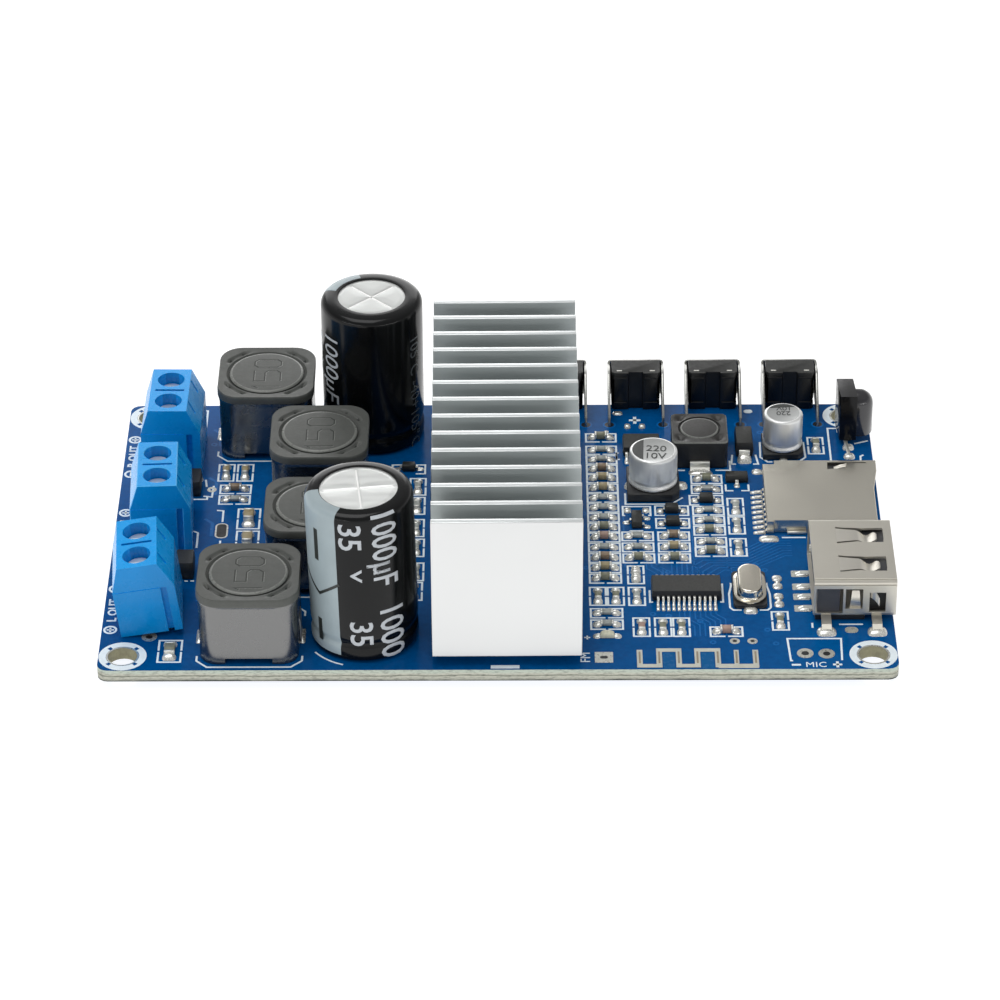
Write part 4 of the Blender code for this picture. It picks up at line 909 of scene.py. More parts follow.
# ---------------------------------------------------------------- inductors
def rsq(a, w, r):
    """Distance from the centre to a rounded square of width w at angle a."""
    h = w / 2
    c, s = abs(math.cos(a)), abs(math.sin(a))
    if c * h * 2 < 1e-9:
        return h
    k = h / max(c, s)
    px, py = c * k, s * k
    if min(px, py) <= h - r:
        return k
    cx = cy = h - r
    b = cx * c + cy * s
    disc = b * b - (cx * cx + cy * cy - r * r)
    return b + math.sqrt(max(0.0, disc))


def inductor(i, x, y):
    w, h = 12.4, 9.5
    n = 96
    bm = bmesh.new()
    angles = [2 * math.pi * k / n + math.pi / n for k in range(n)]

    def side_ring(width, r, z):
        return [(x + rsq(a, width, r) * math.cos(a), y + rsq(a, width, r) * math.sin(a), z) for a in angles]

    rings = [side_ring(w - 0.52, 2.1, 0.05), side_ring(w - 0.5, 2.1, 0.25), side_ring(w - 0.5, 2.1, h - 1.75), side_ring(w - 0.42, 2.1, h - 1.45), side_ring(w - 0.1, 2.7, h - 1.18),
             side_ring(w, 2.9, h - 1.08), side_ring(w, 2.9, h - 0.30), side_ring(w - 0.05, 2.88, h - 0.16), side_ring(w - 0.22, 2.8, h - 0.04)]
    mats = [1, 1, 1, 1, 1, 0, 0, 0, 0]
    # top face: flange, dented corners, groove, raised disc
    disc_r = 4.78
    lip = disc_r + 0.40
    steps = 26
    for k in range(1, steps + 1):
        t = k / steps
        ringp = []
        for a in angles:
            outer = rsq(a, w - 0.22, 2.8)
            r = outer + (lip - outer) * t
            z = h - 0.04 - 0.10 * t
            for q in range(4):
                # a short pocket facing each corner, deepest at its two ends
                ca = math.pi / 4 + q * math.pi / 2
                d = math.atan2(math.sin(a - ca), math.cos(a - ca))
                if abs(d) < 0.5:
                    mid = 5.66 + 0.6 * d * d
                    wall = math.exp(-((r - mid) / 0.27) ** 4)
                    reach = 1.0 / (1.0 + math.exp((abs(d) - 0.29) / 0.014))
                    z -= wall * reach * (0.20 + 0.22 * min(1.0, (d / 0.24) ** 2))
            ringp.append((x + r * math.cos(a), y + r * math.sin(a), z))
        rings.append(ringp)
        mats.append(0)
    # painted shade in the groove beside the disc, painted highlight on the disc's rounded rim
    for r, z, mi in ((disc_r + 0.30, h - 0.30, 0), (disc_r + 0.15, h - 0.40, 3), (disc_r + 0.03, h - 0.36, 3), (disc_r, h - 0.22, 2), (disc_r - 0.06, h - 0.12, 2), (disc_r - 0.20, h - 0.03, 2), (disc_r - 0.34, h - 0.02, 0), (2.4, h - 0.02, 0), (0.2, h - 0.02, 0)):
        rings.append([(x + r * math.cos(a), y + r * math.sin(a), z) for a in angles])
        mats.append(mi)
    loft(bm, rings, 0, True, True, mats)
    # painted shade: faces sunk in the groove and the corner pockets get the darker ferrite copy
    for f in bm.faces:
        c = f.calc_center_median()
        if f.material_index == 0 and c.z < h - 0.40 and math.hypot(c.x - x, c.y - y) < 6.6 and c.z > h - 0.8 and max(abs(c.x - x), abs(c.y - y)) < 5.9:
            f.material_index = 3
    ob = build(bm, f"inductor_{i}_look", [M["ferrite"], M["ferrite_side"], M["ferrite_rim_painted_highlight"], M["ferrite_dark"]], replaces=(f"inductor_{i}",), smooth=32)
    cut = bmesh.new()
    for sy in (-1, 1):
        box(cut, (x - 2.85, x + 2.85), (y + sy * 6.5 - 1.9, y + sy * 6.5 + 1.9), (-1, 0.85))
    carve(ob, cut, 32)
    for f in ob.data.polygons:
        # painted shade: the recess under the body lies in the dark, so its faces get the darker ferrite copy
        c = f.center / MM
        if c.z - TOP < 0.9 and abs(c.x - x) < 2.87 and abs(f.normal.x) < 0.99 + 0.02 * (abs(c.x - x) > 2.8) and abs(c.y - y) < 6.0 and (abs(f.normal.z) > 0.9 or abs(c.y - y) < 4.8 or abs(f.normal.x) > 0.9):
            f.material_index = 3
    # side leads running down the body's sides to the board
    bm = bmesh.new()
    for s in (-1, 1):
        prof = []
        for a, z, th in ((5.80, 3.5, 0.12), (5.93, 3.4, 0.12), (5.98, 3.1, 0.12), (6.02, 0.7, 0.12), (6.06, 0.2, 0.14)):
            prof.append([(x + s * a, y - 1.4, z), (x + s * (a + th), y - 1.4, z), (x + s * (a + th), y + 1.4, z), (x + s * a, y + 1.4, z)])
        loft(bm, prof, 0)
        blob(sold, x + s * 6.25, y, 0.75, 3.1, 0.32, 0, 0, 0, (-s * 0.12, 0))
    build(bm, f"inductor_{i}_leads", [M["lead"]], bevel=0.03, bevel_seg=1)
    # moulded value, read from the right: dark strokes are painted shade in the digits, and a lighter copy set a little
    # off to one side is a painted highlight on their edges
    bm = bmesh.new()
    for mi, dx, dy in ((1, 0.09, -0.09), (0, 0.0, 0.0)):
        def put(pts, closed=False):
            stroke(bm, [(x + 0.1 + dx - v, y + dy + u) for u, v in pts], 0.17, h - 0.03, h - 0.004 + 0.002 * (1 - mi), closed, mi)
        put([(-3.9, 1.1), (-3.5, 1.7), (-3.5, -1.7)])
        put([(0.35, 1.7), (-2.15, 1.7), (-2.15, 0.3), (-0.15, 0.3), (0.35, -0.15), (0.35, -1.2), (-0.15, -1.7), (-2.15, -1.7)])
        put([(1.65, 1.7), (2.55, 1.7), (3.05, 1.2), (3.05, -1.2), (2.55, -1.7), (1.65, -1.7), (1.15, -1.2), (1.15, 1.2)], True)
    build(bm, f"inductor_{i}_value", [M["ferrite_dark"], M["ferrite_rim_painted_highlight"]])
    # printed outline with cut corners
    q = 6.35
    for sy in (-1, 1):
        stroke(silk, [(x - q, y + sy * 4.2), (x - q, y + sy * 5.2), (x - q + 1.3, y + sy * 6.5), (x + q - 1.3, y + sy * 6.5), (x + q, y + sy * 5.2), (x + q, y + sy * 4.2)], SW)


for i, (x, y) in enumerate(((-29.8, 22.9), (-22.5, 8.7), (-22.5, -8.0), (-29.9, -22.75))):
    inductor(i + 1, x, y)

# power inductor
PX, PY, PW, PD, PH = 25.8, 17.85, 7.2, 7.0, 4.0
bm = bmesh.new()
n = 72
angles = [2 * math.pi * k / n + math.pi / n for k in range(n)]


def prsq(a, w, r, z):
    return (PX + rsq(a, w, r) * math.cos(a), PY + rsq(a, w, r) * math.sin(a) * (PD / PW), z)


# painted shade on the sides and in the groove round the top disc (darker moulding copy); painted highlight on the
# rounded top edge and the disc's rim (lighter ferrite copy)
rings = [[prsq(a, w, r, z) for a in angles] for w, r, z in ((6.9, 0.5, 0.05), (7.1, 0.5, 0.3), (7.1, 0.5, 2.95), (7.2, 0.6, 3.2), (7.2, 0.6, 3.80), (7.12, 0.6, 3.92), (6.95, 0.55, 4.0))]
mats = [1, 1, 1, 1, 2, 2, 0]
for k in range(1, 15):
    t = k / 14
    rp = []
    for a in angles:
        o = rsq(a, 6.95, 0.55)
        r = o + (2.75 - o) * t
        z = 4.0
        for q in range(4):
            ca = math.pi / 4 + q * math.pi / 2
            d = math.atan2(math.sin(a - ca), math.cos(a - ca)) / 0.20
            z -= 0.42 * math.exp(-(d * d + ((r - 3.45) / 0.50) ** 2) * 1.4)
        rp.append((PX + r * math.cos(a), PY + r * math.sin(a) * (PD / PW), z))
    rings.append(rp)
    mats.append(0)
for r, z, mi in ((2.72, 3.84, 1), (2.60, 3.76, 1), (2.48, 3.84, 2), (2.40, 3.97, 2), (2.25, 3.99, 0), (0.2, 3.99, 0)):
    rings.append([(PX + r * math.cos(a), PY + r * math.sin(a) * (PD / PW), z) for a in angles])
    mats.append(mi)
loft(bm, rings, 0, True, True, mats)
build(bm, "power_inductor_look", [M["pind_top"], M["chip_dark"], M["ferrite_rim_painted_highlight"]], replaces=("power_inductor",), smooth=32)
bm = bmesh.new()
for s in (-1, 1):
    yy = PY + s * PD / 2
    prof = [[(PX - 1.25, yy + s * a, z), (PX + 1.25, yy + s * a, z), (PX + 1.25, yy + s * a, z + t), (PX - 1.25, yy + s * a, z + t)] for a, z, t in ((-0.1, 1.05, 0.12), (0.15, 1.05, 0.12), (0.28, 0.5, 0.55), (0.35, 0.14, 0.3), (0.9, 0.08, 0.14))]
    loft(bm, prof, 0)
    blob(sold, PX, yy + s * 0.95, 2.9, 1.3, 0.35)
build(bm, "power_inductor_leads", [M["lead"]], bevel=0.03, bevel_seg=1)
stroke(silk, [(27.8, 13.95), (29.7, 13.95), (29.7, 16.2)], SW)
stroke(silk, [(22.0, 16.0), (22.0, 13.95), (23.9, 13.95)], SW)


# ---------------------------------------------------------------- upright capacitors
def capacitor(i, x, y, h, lean, lid_r, turn):
    """Sleeved can on its two leads; everything is built about its own axis, then leant."""
    rot = Matrix.Rotation(math.radians(lean), 4, "Y")

    def lean_all(bm):
        bmesh.ops.transform(bm, matrix=Matrix.Translation((x, y, 0.15)) @ rot, verts=bm.verts)

    r = 6.5
    bm = bmesh.new()
    prof = [(r - 0.9, 0.02), (r - 0.45, 0.05), (r - 0.15, 0.2), (r - 0.02, 0.45), (r, 0.75), (r, 1.6), (r - 0.08, 1.95), (r - 0.24, 2.25), (r - 0.26, 2.45), (r - 0.2, 2.7), (r - 0.06, 3.05), (r, 3.35),
            (r, h - 1.35), (r - 0.05, h - 1.05), (r - 0.16, h - 0.80), (r - 0.34, h - 0.60), (r - 0.60, h - 0.46), (r - 1.0, h - 0.38), (r - 1.5, h - 0.34), (lid_r + 0.14, h - 0.32), (lid_r + 0.04, h - 0.34), (lid_r, h - 0.42)]
    turned(bm, prof, 96, cap1=False)
    lean_all(bm)
    build(bm, f"capacitor_{i}_sleeve", [M["sleeve"]], replaces=(f"capacitor_{i}",), smooth=40)
    # bright lid with the pressure cross
    bm = bmesh.new()
    n = 128
    rings = []
    for k in range(0, 20):
        rr = (lid_r + 0.02) * (1 - k / 19.0) + 0.05
        ringp = []
        for q in range(n):
            a = 2 * math.pi * q / n
            px, py = rr * math.cos(a), rr * math.sin(a)
            rota = math.radians(turn)
            u = px * math.cos(rota) + py * math.sin(rota)
            v = -px * math.sin(rota) + py * math.cos(rota)
            z = h - 0.48
            if rr < lid_r - 0.25:
                d = min(abs(u), abs(v))
                z -= 0.10 * math.exp(-(d / 0.16) ** 2)
                # the quarters dome a little
                z += 0.06 * min(1.0, d / 1.2)
            ringp.append((px, py, z))
        rings.append(ringp)
    loft(bm, [[(px * 1.005, py * 1.005, h - 0.7) for px, py, _ in rings[0]]] + rings, 0)
    lean_all(bm)
    # painted shade: the back capacitor's lid gets the darker copy
    build(bm, f"capacitor_{i}_lid", [M["can_top_painted_shade" if i == 1 else "can_top"]], smooth=30)
    # leads, running down through the board
    bm = bmesh.new()
    for s in (-1, 1):
        turned(bm, [(0.36, -3.03), (0.4, -2.9), (0.4, 0.4)], 16, 0, s * 2.5)
    lean_all(bm)
    build(bm, f"capacitor_{i}_leads", [M["lead"]], smooth=40)


CAPS = ((1, -16.15, 23.95, 20.35, 0.0), (2, -16.05, -22.05, 21.2, -1.2))
for c, lid_r, turn in zip(CAPS, (4.28, 4.66), (44, 6)):
    capacitor(*c, lid_r, turn)
    # painted highlight: bright lines in the two scored grooves of the lid
    bm = bmesh.new()
    ct, st = math.cos(math.radians(turn)), math.sin(math.radians(turn))
    for ax, ay, reach in ((ct, st, lid_r - 0.5), (-st, ct, lid_r - 0.5)):
        stroke(bm, [(-ax * reach, -ay * reach), (ax * reach, ay * reach)], 0.20, c[3] - 0.60, c[3] - 0.535)
    bmesh.ops.transform(bm, matrix=Matrix.Translation((c[1], c[2], 0.15)) @ Matrix.Rotation(math.radians(c[4]), 4, "Y"), verts=bm.verts)
    build(bm, f"capacitor_{c[0]}_score", [M["score"]])


def on_can(cap, a0, z0, lift=0.02):
    """Wraps a flat drawing round a can: drawing x runs round it, drawing y up it."""
    _, x, y, h, lean = cap
    m = Matrix.Translation((x, y, 0.15)) @ Matrix.Rotation(math.radians(lean), 4, "Y")
    r = 6.5
    shoulder = [(r, h - 1.35), (r - 0.05, h - 1.05), (r - 0.16, h - 0.80), (r - 0.34, h - 0.60), (r - 0.60, h - 0.46), (r - 1.0, h - 0.38), (r - 1.5, h - 0.34)]

    def warp(co):
        a = math.radians(a0) + co.x / r
        rr, z, up = r, z0 + co.y, 0.0
        if z > h - 1.35:
            # past the top of the straight wall the drawing bends over the shoulder
            left = z - (h - 1.35)
            for (ra, za), (rb, zb) in zip(shoulder, shoulder[1:]):
                step = math.hypot(rb - ra, zb - za)
                t = min(left / step, 1.0)
                rr, z = ra + (rb - ra) * t, za + (zb - za) * t
                left -= step
                if left <= 0:
                    break
            up = min(1.0, (z - (h - 1.35)) / 0.9)
        out = co.z + lift + 0.03 * up
        rr += out * (1 - up)
        return m @ Vector((rr * math.cos(a), rr * math.sin(a), z + out * up))
    return warp


def cap_stripe(cap, a_mid, half_w, z_lo, z_hi):
    _, x, y, h, lean = cap
    m = Matrix.Translation((x, y, 0.15)) @ Matrix.Rotation(math.radians(lean), 4, "Y")
    bm = bmesh.new()
    r = 6.5
    prof = [(r, 0.75), (r, 1.6), (r - 0.08, 1.95), (r - 0.24, 2.25), (r - 0.26, 2.45), (r - 0.2, 2.7), (r - 0.06, 3.05), (r, 3.35),
            (r, h - 1.35), (r - 0.05, h - 1.05), (r - 0.16, h - 0.80), (r - 0.34, h - 0.60), (r - 0.60, h - 0.46), (r - 1.0, h - 0.38), (r - 1.5, h - 0.34), (r - 1.72, h - 0.333)]
    steps = 16
    outer, inner = [], []
    for rr, z in prof:
        # the outward offset follows the shoulder
        up = min(1.0, max(0.0, (z - (h - 1.35)) / 0.9))
        dr, dz = 0.02 * (1 - up), 0.02 * up
        row_o, row_i = [], []
        for k in range(steps + 1):
            a = math.radians(a_mid - half_w + 2 * half_w * k / steps)
            row_o.append(bm.verts.new(m @ Vector(((rr + dr) * math.cos(a), (rr + dr) * math.sin(a), z + dz))))
            row_i.append(bm.verts.new(m @ Vector(((rr - 0.03) * math.cos(a), (rr - 0.03) * math.sin(a), z - dz))))
        outer.append(row_o)
        inner.append(row_i)
    for a in range(len(prof) - 1):
        for k in range(steps):
            bm.faces.new((outer[a][k], outer[a][k + 1], outer[a + 1][k + 1], outer[a + 1][k]))
            bm.faces.new((inner[a][k], inner[a + 1][k], inner[a + 1][k + 1], inner[a][k + 1]))
        bm.faces.new((outer[a][0], outer[a + 1][0], inner[a + 1][0], inner[a][0]))
        bm.faces.new((outer[a][-1], inner[a][-1], inner[a + 1][-1], outer[a + 1][-1]))
    for k in range(steps):
        bm.faces.new((outer[0][k], inner[0][k], inner[0][k + 1], outer[0][k + 1]))
        bm.faces.new((outer[-1][k], outer[-1][k + 1], inner[-1][k + 1], inner[-1][k]))
    return bm


def can_bar(bm, cap, a0, z0, x0, x1, y0, y1, lift=0.045):
    """A small printed bar on a can."""
    w = on_can(cap, a0, z0, lift)
    nx = max(1, int(abs(x1 - x0) / 0.5))
    lo, hi = [], []
    for j in range(2):
        yy = y0 + (y1 - y0) * j
        lo.append([bm.verts.new(w(Vector((x0 + (x1 - x0) * k / nx, yy, -0.03)))) for k in range(nx + 1)])
        hi.append([bm.verts.new(w(Vector((x0 + (x1 - x0) * k / nx, yy, 0.0)))) for k in range(nx + 1)])
    for k in range(nx):
        bm.faces.new((hi[0][k], hi[0][k + 1], hi[1][k + 1], hi[1][k]))
        bm.faces.new((lo[0][k], lo[1][k], lo[1][k + 1], lo[0][k + 1]))
        bm.faces.new((hi[0][k], lo[0][k], lo[0][k + 1], hi[0][k + 1]))
        bm.faces.new((hi[1][k], hi[1][k + 1], lo[1][k + 1], lo[1][k]))
    for k in (0, nx):
        bm.faces.new((hi[0][k], hi[1][k], lo[1][k], lo[0][k]))


def can_line(bm, cap, a0, z0, pts, width, lift=0.045):
    w = on_can(cap, a0, z0, lift)
    tmp = bmesh.new()
    fine = []
    for (ax, ay), (bx, by) in zip(pts, pts[1:]):
        k = max(1, int(math.hypot(bx - ax, by - ay) / 0.6))
        fine += [(ax + (bx - ax) * t / k, ay + (by - ay) * t / k) for t in range(k)]
    fine.append(pts[-1])
    stroke(tmp, fine, width, -0.03, 0.0)
    for v in tmp.verts:
        v.co = w(v.co)
    me = bpy.data.meshes.new("tmp")
    tmp.to_mesh(me)
    tmp.free()
    bm.from_mesh(me)
    bpy.data.meshes.remove(me)


# front capacitor: stripe at its left, ratings down its front
c2 = CAPS[1]
build(cap_stripe(c2, -146, 31, 0.75, 20.9), "capacitor_2_stripe", [M["stripe"]], smooth=40)
bm = bmesh.new()
can_bar(bm, c2, -142, 0, -0.35, 0.35, 13.4, 17.8)
can_bar(bm, c2, -142, 0, -0.35, 0.35, 1.9, 5.0)
can_line(bm, c2, -142, 0, [(-3.2, 10.8), (0.2, 8.7), (3.3, 11.0)], 0.35)
build(bm, "capacitor_2_stripe_marks", [M["black_ink"]])
bm = bmesh.new()
for text, size, ang, zc, sq in (("35", 3.9, -99, 17.9, 1.03), ("V", 1.9, -94, 12.5, 1.45), ("35", 3.9, -91, 4.1, 0.98), ("1000µF", 4.6, -64.5, 15.7, 0.79), ("1000", 4.6, -56, 3.7, 0.86)):
    thick_words(bm, text, size, 0, 0, -90, -0.03, 0.0, 0, spacing=0.98, squeeze=sq, bold=0.05, warp=on_can(c2, ang, zc, 0.02), slices=0.22)
build(bm, "capacitor_2_print", [M["print"]])
# back capacitor: stripe behind its left shoulder, rating on its left
c1 = CAPS[0]
build(cap_stripe(c1, 136, 28, 0.75, 20.0), "capacitor_1_stripe", [M["stripe"]], smooth=40)
bm = bmesh.new()
can_bar(bm, c1, 140, 0, -0.35, 0.35, 12.0, 15.6)
can_bar(bm, c1, 140, 0, -0.35, 0.35, 2.4, 5.6)
build(bm, "capacitor_1_stripe_marks", [M["black_ink"]])
bm = bmesh.new()
for text, size, ang, zc in (("1000µF", 4.0, -146, 11.4), ("35 V", 4.0, -178, 12.6)):
    thick_words(bm, text, size, 0, 0, -90, -0.03, 0.0, 0, spacing=0.98, squeeze=0.86, warp=on_can(c1, ang, zc, 0.02), slices=0.45)
faint = bmesh.new()
for text, size, ang, zc in (("105°C", 2.6, -32, 13.2), ("-40+105°C", 2.6, -32, 4.6)):
    thick_words(faint, text, size, 0, 0, -90, -0.03, 0.0, 0, spacing=1.0, squeeze=0.86, warp=on_can(c1, ang, zc, 0.02), slices=0.45)
build(faint, "capacitor_1_fine_print", [M["print_faint"]])
build(bm, "capacitor_1_print", [M["print"]])

# ---------------------------------------------------------------- heatsink
def sink_paint(c, n):
    if n.y < -0.8 and c.y < -28.9:
        return 2
    # fin tops: sawn finish with a painted highlight in a lighter colour
    if n.z > 0.8 and c.z > 12.0:
        return 3
    # painted shade: walls facing front and back get the darker copy
    return 1 if abs(n.y) > 0.8 else 0


remade("heatsink", [M["fins"], M["fin_wall"], M["sink_front"], M["fin_tip"]], bevel=0.10, seg=2, smooth=40, paint=sink_paint)

# ---------------------------------------------------------------- terminal blocks
TERMS = (((-41.92, 17.63, 0.05), -0.6, 0.0, 0.0), ((-42.36, 0.30, 0.05), 2.7, 0.0, 0.0), ((-42.48, -17.78, 0.60), 3.9, -6.8, 1.2))
for i, (at, turn, lean, nod) in enumerate(TERMS):
    # painted shade on the faces pointing to the front (darker end-face copy) and painted highlight on the bevelled
    # edges (lighter edge copy)
    ob = remade(f"terminal_housing_{i + 1}", [M["terminal"], M["terminal_edge_painted_highlight"], M["terminal_front"]], bevel=0.08, seg=1, smooth=13, paint=lambda c, n: 2 if n.y < -0.8 else 0, edge_mat=1)
    mt = Matrix.Translation(at) @ Matrix.Rotation(math.radians(turn), 4, "Z") @ Matrix.Rotation(math.radians(nod), 4, "X") @ Matrix.Rotation(math.radians(lean), 4, "Y")
    cut = bmesh.new()
    for py in (-2.54, 2.54):
        # narrow slot down the right slope at each pole
        box(cut, (1.95, 4.6), (py - 0.22, py + 0.22), (8.1, 9.9))
    # a fine step where the end face meets the shoulder
    box(cut, (-4.6, 2.2), (-5.5, -5.08 + 0.07), (6.46, 6.58))
    bmesh.ops.transform(cut, matrix=mt, verts=cut.verts)
    carve(ob, cut, 13)
    for k in (1, 2):
        n = 2 * i + k
        remade(f"terminal_screw_{n}", M["screw"], body=f"screw_{n}", bevel=0.05, seg=2, smooth=40)
        remade(f"wire_clamp_{n}", M["clamp"], body=f"clamp_{n}", bevel=0.06, seg=1)
        remade(f"terminal_contact_{n}", M["pin"], bevel=0.04, seg=1)

# ---------------------------------------------------------------- push buttons
for i in range(1, 5):
    x = 7.86 + (i - 1) * 10.05

    # painted light: the top faces get the lighter moulding copy
    def paint(c, n):
        return 1 if n.z > 0.8 and c.z > 5.0 else 0
    ob = remade(f"switch_body_{i}", [M["switch"], M["switch_top"]], bevel=0.05, seg=1, smooth=35, paint=paint)
    remade(f"switch_bracket_{i}", M["bracket"], bevel=0.04, seg=1, smooth=35)
    remade(f"switch_button_{i}", M["switch"], body=f"button_{i}", bevel=0.0, smooth=40)
    bm = bmesh.new()
    for s in (-1, 1):
        blob(bm, x + s * 2.15, 29.30, 0.78, 0.26, 0.05, 5.58, 0)
    build(bm, f"switch_{i}_pegs", [M["peg"]], smooth=50)
    bm = bmesh.new()
    for s in (-1, 1):
        # shallow ledges across the inner face
        box(bm, (x + s * 2.0 - 0.9, x + s * 2.0 + 0.9), (28.5, 28.75), (4.75, 4.95))
        box(bm, (x + s * 2.0 - 0.85, x + s * 2.0 + 0.85), (28.55, 28.75), (1.05, 1.2))
    build(bm, f"switch_{i}_ledges", [M["switch"]], bevel=0.04, bevel_seg=1)
    for s in (-1, 1):
        # painted shade in the pin hole, with a copper ring round it
        ring(dark, x + s * 3.5, 24.95, 0.0, 0.62, 0.0, 0.02, 20)
        ring(copper, x + s * 3.5, 24.95, 0.62, 0.85, 0.0, 0.02, 20)

# ---------------------------------------------------------------- USB socket
x0, x1, y0, y1, z0, z1, t = 38.32, 48.35, -20.0, -6.2, 0.7, 5.95, 0.3
ob = remade("usb_shell", M["shell"], bevel=0.07, seg=1, smooth=None)
cut = bmesh.new()
for back, front in ((-8.25, -11.65), (-14.5, -17.9)):
    mid = (back + front) / 2
    half = [(3.22, 1.80), (5.8, 1.36), (6.2, 1.50), (8.95, 1.55)]
    pts = [(x0 + u, mid - v) for u, v in half] + [(x0 + u, mid + v) for u, v in half[::-1]]
    flat(cut, pts, z1 - 0.6, z1 + 0.6)
# crease below the front and back bends
box(cut, (x0 - 0.5, x1 + 0.5), (y0 - 0.3, y0 + 0.09), (z1 - 0.66, z1 - 0.52))
box(cut, (x0 - 0.5, x1 + 0.5), (y0 + 0.34, y0 + 0.50), (z1 - 0.09, z1 + 0.5))
carve(ob, cut)
springs = bmesh.new()
for back, front in ((-8.25, -11.65), (-14.5, -17.9)):
    mid = (back + front) / 2
    prof = []
    for s, half, dz in ((3.20, 1.50, -0.005), (4.6, 1.25, -0.005), (5.6, 1.12, -0.005), (5.9, 1.06, -0.08), (6.2, 0.98, -0.26), (6.6, 0.84, -0.52), (6.95, 0.80, -0.60), (7.25, 0.86, -0.52),
                        (7.55, 0.94, -0.34), (7.85, 0.90, -0.20), (8.05, 0.74, -0.16), (8.2, 0.5, -0.18)):
        prof.append([(x0 + s, mid - half, z1 - 0.28 + dz), (x0 + s, mid + half, z1 - 0.28 + dz), (x0 + s, mid + half, z1 + dz), (x0 + s, mid - half, z1 + dz)])
    loft(springs, prof, 0)
# side springs in the windows
for wall, s in ((y0, 1), (y1, -1)):
    # upright bowed spring, narrower at its top
    prof = []
    for k in range(9):
        u = k / 8
        dy = 0.10 + 0.55 * (1 - math.sin(math.pi * (0.15 + 0.7 * u)))
        za = z0 + 0.9 + 2.7 * u
        xa, xb = x0 + 4.35 + 0.28 * u, x0 + 5.75 - 0.22 * u
        prof.append([(xa, wall + s * dy, za), (xb, wall + s * dy, za), (xb, wall + s * (dy + 0.15), za), (xa, wall + s * (dy + 0.15), za)])
    loft(springs, prof, 0)
    # leaf spring running down from the upper left
    prof = []
    for k in range(9):
        u = k / 8
        dy = 0.12 + 0.5 * (1 - math.sin(math.pi * (0.1 + 0.55 * u)))
        xc = x0 + 6.85 + 1.15 * u
        za, zb = z0 + 2.55 - 1.1 * u * u, z0 + 4.0 - 1.5 * u * u
        prof.append([(xc, wall + s * dy, za), (xc, wall + s * dy, zb), (xc, wall + s * (dy + 0.15), zb), (xc, wall + s * (dy + 0.15), za)])
    loft(springs, prof, 0)
build(springs, "usb_springs", [M["spring"]], smooth=28)
remade("usb_insulator", M["grey_block"], bevel=0.06, seg=1)
fingers = bmesh.new()
for k in range(4):
    yy = -13.1 + (k - 1.5) * 2.3
    box(fingers, (42.2, 47.2), (yy - 0.45, yy + 0.45), (3.38, 3.5))
    flat(tin, rrect(2.0, 1.35, 0.1, 1, 37.2, (-9.69, -12.53, -14.70, -17.20)[k]), 0, 0.04)
    blob(sold, 37.6, (-9.69, -12.53, -14.70, -17.20)[k], 1.9, 1.1, 0.3, 0, 0, 0, (0.3, 0))
    box(fingers, (37.3, 38.6), ((-9.69, -12.53, -14.70, -17.20)[k] - 0.35, (-9.69, -12.53, -14.70, -17.20)[k] + 0.35), (0.12, 0.32))
base = bmesh.new()
# moulded foot showing under the shell, partly a painted shadow under it, and dark sheets behind the end windows as
# painted shade inside the shell
box(base, (x0 + 0.25, x0 + 6.3), (y0 + 0.35, y1 - 0.35), (0.06, z0 - 0.03))
for wall, s in ((y0, 1), (y1, -1)):
    ya, yb = sorted((wall + s * 0.95, wall + s * 1.25))
    box(base, (x0 + 6.6, x1 - 0.9), (ya, yb), (z0 + 0.35, z0 + 4.5))
build(base, "usb_foot_and_painted_shade", [M["black"]], bevel=0.05, bevel_seg=1)
build(fingers, "usb_contacts", [M["lead"]], bevel=0.04, bevel_seg=1)
for x in (39.85, 46.0):
    for yy in (y0 - 2.3, y1 + 2.3):
        blob(sold, x, yy, 2.4, 1.8, 0.5, 0, 0, 0, (0, 0.1))
stroke(silk, [(35.5, -1.59), (38.5, -1.59)], SW)
stroke(silk, [(38.2, -20.3), (38.2, -21.3)], SW)
stroke(silk, [(41.45, -20.6), (44.37, -20.6)], SW)
flat(tin, rrect(1.62, 1.3, 0.6, 5, 42.89, -21.79), 0, 0.03, 0)

# ---------------------------------------------------------------- card socket
remade("card_socket_shell", M["card"], bevel=0.05, seg=1, smooth=None)
remade("card_socket_base", M["black"], bevel=0.05, seg=1)
bm = bmesh.new()
for k in range(9):
    yy = 8.65 - k * 1.15
    prof = [[(a, yy - 0.22, z), (a, yy + 0.22, z), (a, yy + 0.22, z + 0.14), (a, yy - 0.22, z + 0.14)] for a, z in ((33.95, 0.45), (33.55, 0.45), (33.35, 0.2), (33.1, 0.12), (32.5, 0.1))]
    loft(bm, prof, 0)
    flat(tin, rrect(1.5, 0.6, 0.06, 1, 32.75, yy), 0, 0.03)
    blob(sold, 32.6, yy, 1.2, 0.55, 0.2)
# roof spring
prof = [[(42.4 + u * 3.6, 12.0 + w, 1.9 + dz), (42.4 + u * 3.6, 12.7 + w, 1.9 + dz), (42.4 + u * 3.6, 12.7 + w, 1.75 + dz), (42.4 + u * 3.6, 12.0 + w, 1.75 + dz)] for u, w, dz in ((0.0, -0.35, -0.55), (0.12, -0.3, -0.32), (0.3, -0.2, -0.12), (0.55, -0.05, -0.02), (1.0, 0.0, 0.0))]
loft(bm, prof, 0)
# side tabs
box(bm, (36.2, 38.6), (-1.05, -0.45), (0.1, 0.5))
build(bm, "card_socket_leads", [M["spring"]], bevel=0.03, bevel_seg=1, smooth=50)
blob(sold, 33.87, -1.95, 2.5, 1.3, 0.35)
blob(sold, 33.1, 13.5, 1.4, 1.2, 0.3)

# ---------------------------------------------------------------- infrared receiver
def ir_paint(c, n):
    if c.x > 46.5:
        return 1
    if c.z < 0.7:
        return 2
    # painted light: faces pointing up get the lighter moulding copy
    return 3 if n.z > 0.6 else 0


